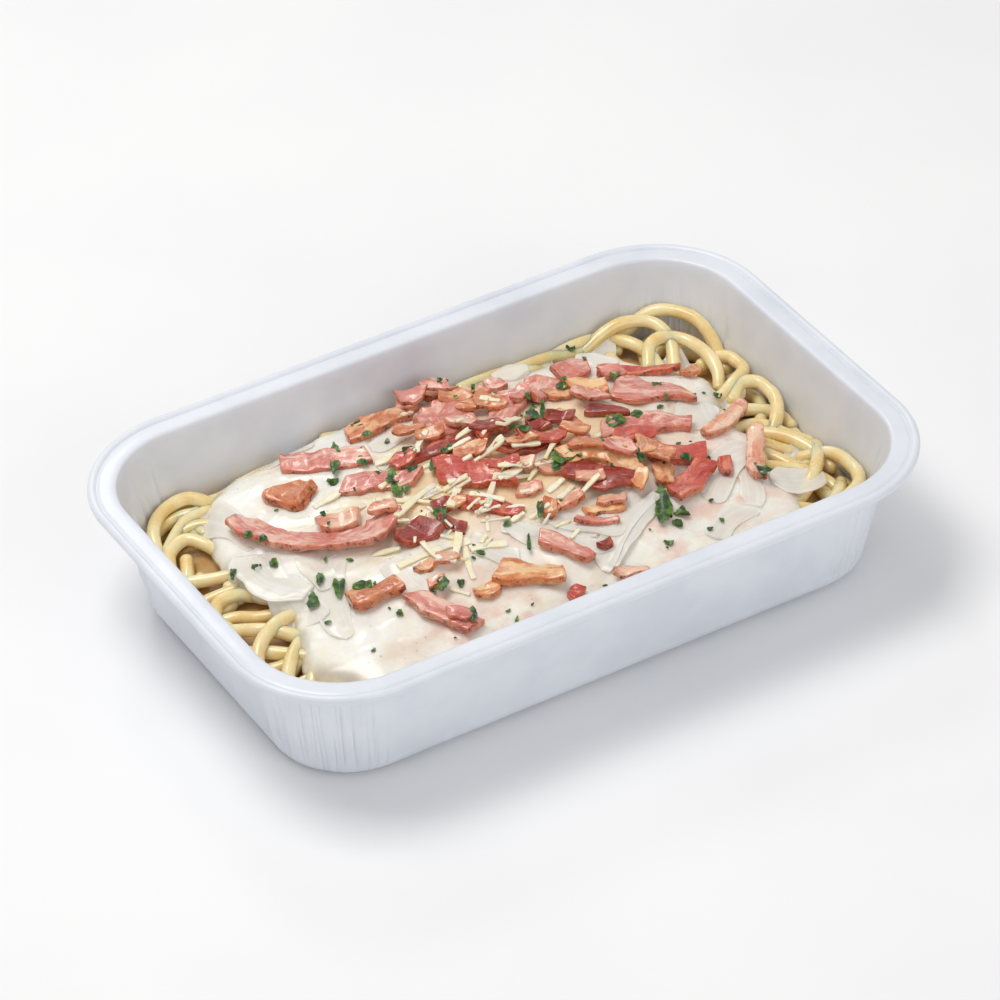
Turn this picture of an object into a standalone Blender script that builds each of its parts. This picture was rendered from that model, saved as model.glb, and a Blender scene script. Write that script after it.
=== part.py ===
"""Foil tray meal: spaghetti under cream sauce, with bacon, onion, cheese and parsley.

The origin is the centre of the tray's base. X runs along the tray, +Y is the back
and Z is up. Sizes are written in millimetres and multiplied by MM once, when a
mesh is made. The food is a low dome; every piece of it is placed by its plan
position and takes its height from that dome and from what it lies on.
"""
import math
from dataclasses import dataclass

import bmesh
import bpy
import numpy as np
from mathutils import Vector
from mathutils.bvhtree import BVHTree

MM = 0.001

# Tray: half sizes of the outer wall at its foot and of the opening at the rim
FOOT_HALF_X = 71.0
FOOT_HALF_Y = 42.8
FOOT_CORNER = 17.7
OPENING_HALF_X = 75.0
OPENING_HALF_Y = 48.2
OPENING_CORNER = 20.0
RIM_HEIGHT = 31.0
FOOT_HEIGHT = 1.35
WALL = 0.5
FOOT_BEND = 5.0
FLANGE = 4.2
BEAD_RADIUS = 1.05
BEAD_OUT = 5.25
BEAD_HEIGHT = 30.25
UNDER_FLANGE = 0.7
BEAD_START = 195
BEAD_END = 505
BEAD_STEPS = 8
GROOVE = 0.3
CORNER_STEPS = 6
LONG_STEPS = 5
SHORT_STEPS = 3
BEND_ANGLES = (0, 30, 60, 90)

# Food: the dome, the heap of noodles below it and the gap kept between neighbours
EDGE_LEVEL = 14.0
DOME_RISE = 11.0
DOME_HALF_X = 76.0
DOME_HALF_Y = 60.0
DOME_BACK = 4.0
CORE_BELOW_DOME = 3.4
SAUCE_BELOW_DOME = 0.9
GAP = 0.32
TRAY_GAP = 0.35

STRAND_RADIUS = 1.45
STRAND_STEP = 2.2
LAYER_HEIGHTS = {1: 0.8, 2: 2.3, 3: 3.5, 4: 4.6, 5: 6.4, 6: 8.4}
STRAND_SUNK = STRAND_RADIUS + 0.4
STRAND_CLEAR = 2.1
STRAND_CLIMB = 4.0
STRAND_END_STEPS = 2.5
EASY_CLIMB = 3.5

CORE_SHARES = (1.0, 0.9, 0.77, 0.64, 0.5, 0.36, 0.2)
SAUCE_POINTS = 50
SAUCE_UNDER_SHARES = (0.12, 0.26, 0.40, 0.54, 0.68, 0.82, 0.93, 0.985)
SAUCE_LIP_SHARES = (1.0, 0.99, 0.95)
SAUCE_TOP_SHARES = (0.90, 0.82, 0.73, 0.63, 0.52, 0.41, 0.29, 0.15)
SAUCE_FROM_WALL = TRAY_GAP + 0.2
SAUCE_EDGE_THICKNESS = 1.1
SAUCE_RIPPLE = 0.22
STRIP_SHOULDER = 0.82
STRIP_WAVE = 0.09
LEAF_THICKNESS = 0.5
LEAF_LOBES = 9
LEAF_NOTCH = 0.72
LEAF_WAVE = 0.18
TOPPING_CLEAR = 0.25
SHRED_BEND = 14
SHRED_RISE = 0.15
LEAF_RISE = 0.1
MERGE = 0.003

COLOURS = {
    "foil": ((0.80, 0.83, 0.87), 0.35, 0.0),
    "noodle": ((0.80, 0.62, 0.31), 0.40, 0.0),
    "sauce": ((0.86, 0.80, 0.70), 0.25, 0.0),
    "bacon": ((0.62, 0.19, 0.13), 0.38, 0.0),
    "onion": ((0.84, 0.79, 0.66), 0.30, 0.0),
}


@dataclass
class Strip:
    """A cut strip lying on the heap: a centreline, a section and how it curls."""

    x: float
    y: float
    turn: float
    length: float
    width: float
    thick: float = 2.5
    bend: float = 0.0
    bend_power: float = 1.0
    curl: float = 0.0
    roll: float = 0.0
    twist: float = 0.0
    taper: float = 0.15


# Bacon, laid from the bottom of the heap to the top
BACON = (
    Strip(-26, 32, -36, 19, 5, 2.4, bend=6),
    Strip(-37, 25, -64, 7, 7, 3.6, bend=50, curl=1.0),
    Strip(-38, 14, -46, 42, 6, 2.2, bend=125, bend_power=2.5, roll=-8, taper=0.35),
    Strip(-35, 9.7, -15, 8.5, 4.2, 2.8, bend=15),
    Strip(-21, 16.5, -30, 16, 4.8, 2.6, bend=-8),
    Strip(-11, 36, 0, 14, 4.5, 2.6, bend=10),
    Strip(7, 40, -28, 8, 4, 2.6, bend=-60, curl=0.6),
    Strip(-1, 40, -18, 4.5, 4, 2.5),
    Strip(0, 29, 23, 12, 9, 2.8, bend=30, curl=1.2),
    Strip(11, 33.3, -3, 7.5, 4.2, 2.8, bend=12),
    Strip(13, 23, 46, 16, 5.5, 2.6, bend=8),
    Strip(18, 35, -26, 4, 3.5, 2.5),
    Strip(25, 28, 30, 8.5, 7, 2.4, bend=20, curl=0.8),
    Strip(-5, 18, -7, 17, 3.2, 2.4, bend=-14),
    Strip(-4, 6, -40, 16.5, 6.5, 3.0, bend=4),
    Strip(-7, -5, -49, 14, 3.2, 2.6, bend=6),
    Strip(-24, -3, -5, 9, 6.5, 2.8, bend=40, curl=1.2),
    Strip(-15, 1, -11, 4, 3, 2.2),
    Strip(12, 8, -8, 11.5, 3, 2.2, bend=12),
    Strip(17, 15, -75, 5.5, 2.6, 2.4),
    Strip(35, 30, 3, 8, 5.5, 2.6, bend=-10),
    Strip(48, 24, -21, 18, 2.8, 2.2, bend=-30, curl=0.4),
    Strip(34, 22, -22, 8, 4.5, 3.0),
    Strip(46, 15.5, -28, 16, 7.5, 2.2, bend=5, curl=0.3),
    Strip(23, 10, -93, 13, 2.4, 2.4, bend=-30),
    Strip(33, 12, -42, 9, 2.6, 2.4),
    Strip(37, 3, -16, 20, 5, 2.8, bend=-24),
    Strip(20, -7, -60, 22, 5, 2.4, bend=-140, roll=10),
    Strip(31, -13.7, 63, 6.2, 3.2, 2.6),
    Strip(38, -8, -24, 12.5, 5.4, 2.8, bend=22, curl=0.8),
    Strip(35, -18, 29, 14, 4.8, 2.6, bend=6),
    Strip(14, -17, -14, 8, 2.8, 2.0, bend=20),
    Strip(9, -12, 9, 6.5, 3, 2.2),
    Strip(10.5, -20, -26, 9, 1.8, 1.6, bend=10),
    Strip(3.5, -13.5, 33, 3.5, 2.4, 2.2),
    Strip(55, 0, 31, 18, 3.4, 2.6, bend=25, taper=0.3),
    Strip(54.5, -14.5, 58, 20, 3.6, 2.6, bend=-18, taper=0.3),
    Strip(45, -16, 63, 5, 3, 2.4),
    Strip(-40, -14, -9, 11, 5, 3.2, bend=10),
    Strip(-30.5, -26.5, -67, 16, 4.4, 2.6, bend=18),
    Strip(-28, -19, -6, 3.6, 2.6, 2.0),
    Strip(-20, -26, -9, 5.5, 3.6, 2.2, bend=20),
    Strip(-27, -13.5, 2, 5, 2.2, 1.8),
    Strip(-10, -27, -33, 13.5, 5.2, 3.0, bend=5),
    Strip(0, -24.5, -59, 12, 3.5, 2.6, bend=-12),
    Strip(-4, -35, 26, 3.6, 2.7, 2.2),
)

# Onion slices, under the bacon
ONION = (
    Strip(-53.5, 5, -78, 21, 10, 1.4, bend=60, curl=0.6, taper=0.4),
    Strip(0.5, -17, -34, 20, 4.5, 1.2, bend=12, taper=0.3),
    Strip(16.5, -25.5, 35, 25, 4.8, 1.2, bend=-18, twist=40, taper=0.3),
    Strip(53, 3, -106, 10, 6, 1.2, bend=20, taper=0.4),
    Strip(58, -24.5, -20, 12, 9, 1.4, bend=20, taper=0.6),
    Strip(24, 38, -3, 8.5, 5, 2.8, taper=0.5),
    Strip(43, 33, -48, 9.5, 5.5, 2.0, bend=15, taper=0.5),
    Strip(46.5, -23, 66, 14, 5, 1.2, bend=15, taper=0.4),
)

# Cheese shreds: x, y, turn and length, in a square section of SHRED_WIDTH
SHRED_WIDTH = 1.3
SHREDS = (
    (-20, 4.5, 19, 12), (-13.5, -1.5, 44, 10), (5, 12.5, 19, 6), (6, 3, -5, 6),
    (-20, -13.5, 55, 11), (-21, -20.5, 70, 8), (-30, -9.5, -2, 10), (-14, -17.5, -7, 8),
    (8, -3, -7, 5), (14, -0.5, 27, 7), (-42, 0, 12, 5), (-33, 18, 18, 8),
    (-18, 26, 0, 9), (-12, -12, 62, 5), (4, -7.5, 27, 5),
)

# Parsley: x, y, turn, length and width of each flake
FLAKES = (
    (-22, 35, 36, 9, 4.5), (25, -22.5, 62, 9, 4), (-9, 7, 20, 4, 3), (-15, 14, -20, 3.4, 2.2),
    (-18, 9, 50, 3.2, 2.0), (19, 18, 80, 6, 2.6), (24, 19, 10, 5, 2.6), (10, 17, -30, 4, 2.4),
    (19, 5, 40, 5, 3.0), (35, 16, -10, 5, 2.6), (46, 24, 15, 4.5, 2.4), (56, 4, 70, 3.2, 2.0),
    (3, -11, 60, 4, 2.2), (-47, -7, 20, 3.2, 2.2), (-43, -10, 60, 4.6, 2.0), (-52, -11, 10, 3, 2.4),
    (-54, 2, 15, 4.4, 2.4), (-35, -31, 40, 3.2, 1.8), (-15, -22, 30, 3, 2.0), (37, 5, -20, 3, 2.0),
    (30, 27, 0, 3.4, 2.2), (-43, 24, 10, 3, 2.0), (-24, -33, 30, 3.2, 2.4), (42, -26, 40, 2.8, 2.0),
    (58, -10, 30, 3.2, 2.2), (-48, -36, 0, 3, 1.8),
)

# Spaghetti that shows past the sauce: its layer in the heap, then its route in plan
STRANDS = (
    (3, (-50, 38), (-54.3, 42), (-59.2, 42), (-63, 40), (-66, 36), (-67.5, 31)),
    (1, (-51, 37), (-56, 37.5), (-61, 35), (-65, 31.5), (-68, 27)),
    (2, (-68, 25), (-65.5, 29.5), (-61, 31), (-58, 27.5), (-56.5, 23), (-54, 18)),
    (1, (-63, 27), (-66, 21), (-69, 17)),
    (1, (-70, 21), (-64, 18), (-56, 14)),
    (1, (-70, 12), (-66, 12), (-58, 10)),
    (2, (-66, -1), (-68, 4), (-65.5, 8), (-61, 8), (-56, 5)),
    (1, (-70, 5), (-64, 3), (-60, -1), (-52, -4)),
    (2, (-70, 2), (-66, -2), (-61, -7), (-55, -13)),
    (3, (-69, -18), (-67, -12), (-62, -8), (-54, -5)),
    (1, (-70, -5), (-65, -10), (-61, -14), (-56, -20)),
    (1, (-70, -10), (-68, -18), (-65, -26), (-62, -32)),
    (2, (-57, -12), (-62, -17), (-66, -23), (-67, -29)),
    (1, (-68, -22), (-64, -31), (-57, -37), (-48, -40)),
    (6, (52, 43), (58, 43.5), (63, 42.7), (67, 39.5), (70, 34.5), (70.8, 29), (69.5, 22)),
    (5, (44, 42), (50, 42.3), (56, 41.6), (60, 40), (62, 37), (62.3, 33), (60, 28)),
    (2, (36, 43), (44, 43.4), (50.5, 42.4), (55, 38.5), (56.5, 33), (56, 28)),
    (1, (14, 43), (24, 43.4), (34, 43.2), (44, 42)),
    (4, (54, 29), (57, 33.5), (61, 34.3), (64.7, 32), (66.3, 27), (66, 20), (64, 16)),
    (4, (65, 25), (69, 24.6), (71.2, 20.5), (70, 15.5), (65, 12.5), (60, 11)),
    (4, (63, 9), (67, 12), (70.6, 10), (70.8, 5), (68.5, -0.5), (64, -5)),
    (1, (57, 5), (63, 6), (69, 3), (71, -3)),
    (1, (56, -1), (63, -1), (67, -6), (71, -10)),
    (2, (60, -3), (65, -8), (68, -14), (69, -21)),
    (3, (71, -12), (66, -20), (60, -26), (50, -31)),
    (1, (55, -15), (61, -19), (65, -25), (66, -31)),
    (4, (65, -15), (69.5, -19), (71, -26), (68.5, -32), (62, -35.5), (56, -36)),
    (2, (50, -34), (58, -34.5), (64, -31), (68, -26)),
)

# The sauce's edge, anticlockwise from the right
SAUCE_EDGE = (
    (60, 10), (62.5, 18), (56, 25), (48, 35), (37, 39.5), (24, 39.5), (12, 43), (-12, 44.5),
    (-34, 43), (-47, 41), (-56, 31), (-59.5, 17), (-59.5, 6), (-54.5, -3), (-57.5, -12),
    (-61, -22), (-55, -32), (-40, -39), (-12, -42), (18, -42), (42, -38), (54, -30),
    (57, -22), (56, -14), (59.5, -8), (57, 0),
)
# Swells of the sauce: x, y, height and reach
SWELLS = (
    (-46, 33, 1.1, 11), (-50, -26, 0.9, 9), (-38, -34, 0.7, 8), (-12, 40, 0.6, 9),
    (-20, -35, 0.7, 9), (22, -34, 0.8, 9), (44, -30, 0.7, 9), (-48, -2, 0.6, 7),
    (30, -28, -0.6, 6), (-30, 0, -0.5, 6), (-4, -38, -0.5, 8), (44, 34, 0.5, 6),
)


def dome(x, y):
    """Level of the food: a bowl turned over, a product of two parabolas."""
    along = 1 - (x / DOME_HALF_X) ** 2
    across = 1 - ((y - DOME_BACK) / DOME_HALF_Y) ** 2
    return EDGE_LEVEL + DOME_RISE * along * across


def rounded_outline(half_x, half_y, radius):
    """Plan points of a rounded rectangle, anticlockwise, with points along its sides."""
    points = []
    corners = ((1, 1, LONG_STEPS), (-1, 1, SHORT_STEPS), (-1, -1, LONG_STEPS), (1, -1, SHORT_STEPS))
    for quarter, (side_x, side_y, _) in enumerate(corners):
        centre = np.array((side_x * (half_x - radius), side_y * (half_y - radius)))
        angles = np.radians(90 * quarter + np.linspace(0, 90, CORNER_STEPS + 1))
        points.append(centre + radius * np.stack((np.cos(angles), np.sin(angles)), 1))
    outline = []
    for quarter, arc in enumerate(points):
        steps = corners[quarter][2]
        following = points[(quarter + 1) % 4][0]
        share = np.arange(1, steps)[:, None] / steps
        outline += [arc, arc[-1] + (following - arc[-1]) * share]
    return np.concatenate(outline)


def wall_ring(height, inward=0.0):
    """Outline of the sloping wall at one height, moved inwards from its outer face."""
    share = (height - FOOT_HEIGHT) / (RIM_HEIGHT - FOOT_HEIGHT)
    half_x = FOOT_HALF_X + (OPENING_HALF_X + WALL - FOOT_HALF_X) * share - inward
    half_y = FOOT_HALF_Y + (OPENING_HALF_Y + WALL - FOOT_HALF_Y) * share - inward
    radius = FOOT_CORNER + (OPENING_CORNER + WALL - FOOT_CORNER) * share - inward
    return rounded_outline(half_x, half_y, radius)


def lift(outline, height):
    """Plan points with one height, or a height for each."""
    return np.column_stack((outline, np.broadcast_to(height, len(outline))))


def foot_rings(inset):
    """Rings of the rounded foot, from the flat base up, for a skin set in by inset."""
    radius = FOOT_BEND - inset
    rings = []
    for angle in np.radians(BEND_ANGLES):
        height = inset + radius * (1 - math.cos(angle))
        rings.append(lift(wall_ring(FOOT_BEND, inset + radius * (1 - math.sin(angle))), height))
    return rings


def rim_ring(outward, height):
    """Outline a distance outside the opening, at one height."""
    return lift(rounded_outline(OPENING_HALF_X + outward, OPENING_HALF_Y + outward,
                                OPENING_CORNER + outward), height)


def new_object(name, mesh, material, collection):
    """An object of a finished mesh, coloured and put in its collection."""
    mesh.materials.append(material)
    item = bpy.data.objects.new(name, mesh)
    collection.objects.link(item)
    return item


def mesh_from(name, points, faces, smooth=True):
    """A closed mesh from points in millimetres, its faces pointing out."""
    mesh = bpy.data.meshes.new(name)
    mesh.from_pydata([tuple(float(v) * MM for v in p) for p in points], [], faces)
    shape = bmesh.new()
    shape.from_mesh(mesh)
    bmesh.ops.recalc_face_normals(shape, faces=shape.faces)
    bmesh.ops.triangulate(shape, faces=shape.faces)
    shape.to_mesh(mesh)
    shape.free()
    if smooth:
        mesh.shade_smooth()
        mesh.set_sharp_from_angle(angle=math.radians(40))
    return mesh


def loft(name, rings, first_centre=None, last_centre=None):
    """A skin over a stack of rings, its ends closed flat or by a fan to a centre."""
    count = len(rings[0])
    points = list(np.concatenate(rings))
    here = np.arange(count)
    there = (here + 1) % count
    faces = []
    for level in range(len(rings) - 1):
        low = level * count
        high = low + count
        faces += [(low + a, low + b, high + b, high + a) for a, b in zip(here, there)]
    for start, centre in ((0, first_centre), ((len(rings) - 1) * count, last_centre)):
        if centre is None:
            faces.append([start + a for a in here])
        else:
            points.append(centre)
            faces += [(start + a, start + b, len(points) - 1) for a, b in zip(here, there)]
    return mesh_from(name, points, [tuple(int(i) for i in face) for face in faces])


def tray_mesh():
    """The pressed tray: foot, sloping wall, flat flange and rolled bead, one wall thick."""
    rings = foot_rings(0.0)
    under = RIM_HEIGHT - WALL
    rings.append(lift(wall_ring(under - 2 * WALL), under - 2 * WALL))
    rings.append(rim_ring(WALL + UNDER_FLANGE, under))
    for angle in np.radians(np.linspace(BEAD_START, BEAD_END, BEAD_STEPS)):
        rings.append(rim_ring(BEAD_OUT + BEAD_RADIUS * math.cos(angle),
                              BEAD_HEIGHT + BEAD_RADIUS * math.sin(angle)))
    rings.append(rim_ring(FLANGE, RIM_HEIGHT - GROOVE))
    rings.append(rim_ring(FLANGE - GROOVE, RIM_HEIGHT))
    rings.append(rim_ring(UNDER_FLANGE, RIM_HEIGHT))
    rings.append(rim_ring(UNDER_FLANGE / 6, RIM_HEIGHT - GROOVE))
    rings.append(lift(wall_ring(RIM_HEIGHT - 2 * WALL, WALL), RIM_HEIGHT - 2 * WALL))
    rings += foot_rings(WALL)[::-1]
    return loft("tray", rings)


def core_top(x, y):
    """Level of the packed noodles that carry the sauce and the loose strands."""
    return dome(x, y) - CORE_BELOW_DOME


def core_mesh():
    """The packed noodles: the tray's inside up to a smooth dome."""
    inset = WALL + TRAY_GAP
    rings = foot_rings(inset)
    outline = wall_ring(EDGE_LEVEL, inset)
    level = core_top(outline[:, 0], outline[:, 1])
    foot = wall_ring(FOOT_BEND, inset)
    slope = (outline - foot) / (EDGE_LEVEL - FOOT_BEND)
    outline = foot + slope * (level - FOOT_BEND)[:, None]
    for share in CORE_SHARES:
        ring = outline * share
        rings.append(lift(ring, core_top(ring[:, 0], ring[:, 1])))
    return loft("spaghetti", rings, last_centre=(0.0, 0.0, core_top(0.0, 0.0)))


def smooth_loop(points, count):
    """A closed Catmull-Rom curve through points, sampled at even steps of its length."""
    knots = np.array(points, float)
    before, after = np.roll(knots, 1, 0), np.roll(knots, -1, 0)
    beyond = np.roll(knots, -2, 0)
    t = np.linspace(0, 1, 12, endpoint=False)[None, :, None]
    curve = 0.5 * (2 * knots[:, None] + (after - before)[:, None] * t
                   + (2 * before - 5 * knots + 4 * after - beyond)[:, None] * t ** 2
                   + (3 * knots - before - 3 * after + beyond)[:, None] * t ** 3)
    return even_steps(curve.reshape(-1, knots.shape[1]), count, closed=True)


def smooth_route(points, step):
    """An open Catmull-Rom curve through points, with a point every step or so."""
    knots = np.array(points, float)
    knots = np.vstack((2 * knots[0] - knots[1], knots, 2 * knots[-1] - knots[-2]))
    p0, p1, p2, p3 = knots[:-3], knots[1:-2], knots[2:-1], knots[3:]
    t = np.linspace(0, 1, 12, endpoint=False)[None, :, None]
    curve = 0.5 * (2 * p1[:, None] + (p2 - p0)[:, None] * t
                   + (2 * p0 - 5 * p1 + 4 * p2 - p3)[:, None] * t ** 2
                   + (3 * p1 - p0 - 3 * p2 + p3)[:, None] * t ** 3)
    curve = np.vstack((curve.reshape(-1, knots.shape[1]), p2[-1]))
    length = np.linalg.norm(np.diff(curve, axis=0), axis=1).sum()
    return even_steps(curve, max(4, round(length / step) + 1), closed=False)


def even_steps(curve, count, closed):
    """A curve's points moved to even steps along it."""
    if closed:
        curve = np.vstack((curve, curve[:1]))
    run = np.concatenate(([0], np.cumsum(np.linalg.norm(np.diff(curve, axis=0), axis=1))))
    wanted = np.linspace(0, run[-1], count, endpoint=not closed)
    return np.column_stack([np.interp(wanted, run, curve[:, axis]) for axis in range(curve.shape[1])])


def within_tray(points, heights, margin):
    """Plan points pulled in towards the middle where they would come near the wall."""
    kept = []
    for point, height in zip(points, np.broadcast_to(heights, len(points))):
        reach = ray_reach(wall_ring(height, WALL + margin), point)
        kept.append(point * min(1.0, reach))
    return np.array(kept)


def ray_reach(ring, point):
    """How many times its own length a ray through point runs before it meets the ring."""
    edge = np.roll(ring, -1, 0) - ring
    cross = point[0] * edge[:, 1] - point[1] * edge[:, 0]
    along = (ring[:, 0] * edge[:, 1] - ring[:, 1] * edge[:, 0]) / np.where(cross == 0, np.inf, cross)
    where = (ring[:, 0] * point[1] - ring[:, 1] * point[0]) / np.where(cross == 0, np.inf, cross)
    hits = along[(along > 0) & (where >= -1e-9) & (where <= 1 + 1e-9)]
    return float(hits.min()) if len(hits) else math.inf


def sauce_outline():
    """The sauce's edge in plan, clear of the tray's wall."""
    return within_tray(smooth_loop(SAUCE_EDGE, SAUCE_POINTS), EDGE_LEVEL, SAUCE_FROM_WALL)


def outside_by(outline, point):
    """Distance from a closed outline in plan, positive outside it."""
    following = np.roll(outline, -1, 0)
    edge = following - outline
    share = np.clip(((point - outline) * edge).sum(1) / (edge ** 2).sum(1), 0, 1)
    near = np.linalg.norm(outline + edge * share[:, None] - point, axis=1).min()
    crosses = (outline[:, 1] > point[1]) != (following[:, 1] > point[1])
    rise = np.where(edge[:, 1] == 0, np.inf, edge[:, 1])
    meets = outline[:, 0] + (point[1] - outline[:, 1]) * edge[:, 0] / rise
    inside = (crosses & (point[0] < meets)).sum() % 2
    return -near if inside else near


def sauce_top(x, y):
    """Level of the sauce: the dome with broad swells and a soft ripple."""
    level = dome(x, y) - SAUCE_BELOW_DOME
    for swell_x, swell_y, height, reach in SWELLS:
        level = level + height * np.exp(-((x - swell_x) ** 2 + (y - swell_y) ** 2) / reach ** 2)
    ripple = np.sin(x / 4.3 + np.sin(y / 6.1)) * np.cos(y / 3.9 + 0.8 * np.sin(x / 7.7))
    return level + SAUCE_RIPPLE * ripple


def sauce_mesh(outline):
    """The blanket of sauce: a thin rounded edge, a swelling top, a smooth underside."""
    def ring(share, level):
        plan = outline * share
        return lift(plan, level(plan[:, 0], plan[:, 1]))

    def under(x, y):
        return core_top(x, y) + GAP

    def shoulder(x, y):
        return (under(x, y) + 3 * sauce_top(x, y)) / 4

    rim, lip, rise = SAUCE_LIP_SHARES
    rings = [ring(share, under) for share in SAUCE_UNDER_SHARES]
    rings.append(ring(rim, lambda x, y: under(x, y) + SAUCE_EDGE_THICKNESS / 2))
    rings.append(ring(lip, lambda x, y: under(x, y) + SAUCE_EDGE_THICKNESS))
    rings.append(ring(rise, shoulder))
    rings += [ring(share, sauce_top) for share in SAUCE_TOP_SHARES]
    return loft("sauce", rings, (0.0, 0.0, under(0.0, 0.0)), (0.0, 0.0, sauce_top(0.0, 0.0)))


def strip_rings(strip, sides, steps):
    """Rings of a strip carried along its bent, curled centreline over the dome."""
    share = np.linspace(0, 1, steps + 1)
    middle = (share[1:] + share[:-1]) / 2
    centre_power = 0.5 ** strip.bend_power
    heading = np.radians(strip.turn + strip.bend * (share ** strip.bend_power - centre_power))
    run = np.radians(strip.turn + strip.bend * (middle ** strip.bend_power - centre_power))
    step = strip.length / steps
    path = np.zeros((steps + 1, 2))
    path[1:, 0] = np.cumsum(np.cos(run)) * step
    path[1:, 1] = np.cumsum(np.sin(run)) * step
    path += np.array((strip.x, strip.y)) - (path.max(0) + path.min(0)) / 2
    across = np.stack((-np.sin(heading), np.cos(heading), np.zeros(steps + 1)), 1)
    tilt = np.radians(strip.roll + strip.twist * (share - 0.5))
    flat = across * np.cos(tilt)[:, None] + np.array((0, 0, 1.0)) * np.sin(tilt)[:, None]
    stand = -across * np.sin(tilt)[:, None] + np.array((0, 0, 1.0)) * np.cos(tilt)[:, None]
    away = np.abs(2 * share - 1)
    level = dome(path[:, 0], path[:, 1]) + strip.curl * away ** 2
    wave = 1 + STRIP_WAVE * np.sin(share * 9 + strip.x * 1.7 + strip.y)
    width = strip.width * (1 - strip.taper * away ** 3) * wave
    centre = lift(path, level)
    if sides == 4:
        section = ((-1, -1), (1, -1), (1, 1), (-1, 1))
    else:
        section = ((-1, 0), (-STRIP_SHOULDER, -1), (STRIP_SHOULDER, -1),
                   (1, 0), (STRIP_SHOULDER, 1), (-STRIP_SHOULDER, 1))
    rings = np.array([centre + flat * (u * width / 2)[:, None] + stand * v * strip.thick / 2
                      for u, v in section])
    return list(rings.transpose(1, 0, 2))


def solid_of(mesh):
    """The points and the faces of a mesh, for searches; its object stays at the origin."""
    points = [vertex.co.copy() for vertex in mesh.vertices]
    return points, [tuple(face.vertices) for face in mesh.polygons]


class Heap:
    """What is laid so far: it says how high a new piece comes to rest."""

    def __init__(self):
        self.points = []
        self.faces = []
        self.samples = []
        self.tree = None

    def add(self, mesh):
        """Lay a mesh on the heap."""
        points, faces = solid_of(mesh)
        start = len(self.points)
        self.points += points
        self.faces += [tuple(start + i for i in face) for face in faces]
        self.samples += sample_points(points, faces)
        self.tree = BVHTree.FromPolygons(self.points, self.faces)

    def settle(self, mesh):
        """Move a mesh up or down until it lies on the heap with the usual gap."""
        points, faces = solid_of(mesh)
        least = math.inf
        for point in sample_points(points, faces):
            hit = self.tree.ray_cast(Vector((point.x, point.y, 1.0)), Vector((0, 0, -1)))[0]
            if hit is not None:
                least = min(least, point.z - hit.z)
        own = BVHTree.FromPolygons(points, faces)
        low_x, high_x = min(p.x for p in points), max(p.x for p in points)
        low_y, high_y = min(p.y for p in points), max(p.y for p in points)
        for point in self.samples:
            if low_x <= point.x <= high_x and low_y <= point.y <= high_y:
                hit = own.ray_cast(Vector((point.x, point.y, -1.0)), Vector((0, 0, 1)))[0]
                if hit is not None:
                    least = min(least, hit.z - point.z)
        rise = GAP * MM - least
        move(mesh, rise)
        while self.touches(mesh):
            move(mesh, 0.1 * MM)

    def touches(self, mesh):
        """Whether a mesh cuts into the heap."""
        points, faces = solid_of(mesh)
        return bool(self.tree.overlap(BVHTree.FromPolygons(points, faces)))


def sample_points(points, faces):
    """Corners, edge middles and centres of the faces, for measuring gaps."""
    samples = list(points)
    for a, b, c in faces:
        samples += [(points[a] + points[b]) / 2, (points[b] + points[c]) / 2,
                    (points[c] + points[a]) / 2, (points[a] + points[b] + points[c]) / 3]
    return samples


def move(mesh, rise):
    """Raise a mesh."""
    for vertex in mesh.vertices:
        vertex.co.z += rise


def strand_mesh(name, layer, route, outline, collection, material):
    """One noodle as a tube that dives into the core before it meets the sauce."""
    plan = smooth_route(route, STRAND_STEP)
    height = LAYER_HEIGHTS[layer]
    steepness = max(1.0, height / EASY_CLIMB)
    clear = np.array([outside_by(outline, point) for point in plan])
    share = np.clip((clear - STRAND_CLEAR) / (STRAND_CLIMB * steepness), 0, 1)
    ends = np.minimum(np.arange(len(plan)), np.arange(len(plan))[::-1])
    share = np.minimum(share, np.clip((ends + 0.2) / (STRAND_END_STEPS * steepness), 0, 1))
    share = share ** 2 * (3 - 2 * share)
    level = core_top(plan[:, 0], plan[:, 1]) - STRAND_SUNK + (height + STRAND_SUNK) * share
    plan = within_tray(plan, level - STRAND_RADIUS, STRAND_RADIUS + TRAY_GAP)
    curve = bpy.data.curves.new(name, "CURVE")
    curve.dimensions = "3D"
    curve.bevel_depth = STRAND_RADIUS * MM
    curve.bevel_resolution = 1
    curve.use_fill_caps = True
    spline = curve.splines.new("POLY")
    spline.points.add(len(plan) - 1)
    for point, (x, y), z in zip(spline.points, plan, level):
        point.co = (x * MM, y * MM, z * MM, 1)
    item = bpy.data.objects.new(name, curve)
    collection.objects.link(item)
    depsgraph = bpy.context.evaluated_depsgraph_get()
    mesh = bpy.data.meshes.new_from_object(item.evaluated_get(depsgraph))
    bpy.data.objects.remove(item)
    bpy.data.curves.remove(curve)
    shape = bmesh.new()
    shape.from_mesh(mesh)
    bmesh.ops.remove_doubles(shape, verts=shape.verts, dist=MERGE * MM)
    bmesh.ops.recalc_face_normals(shape, faces=shape.faces)
    bmesh.ops.triangulate(shape, faces=shape.faces)
    shape.to_mesh(mesh)
    shape.free()
    mesh.materials.clear()
    return new_object(name, mesh, material, collection)


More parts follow.
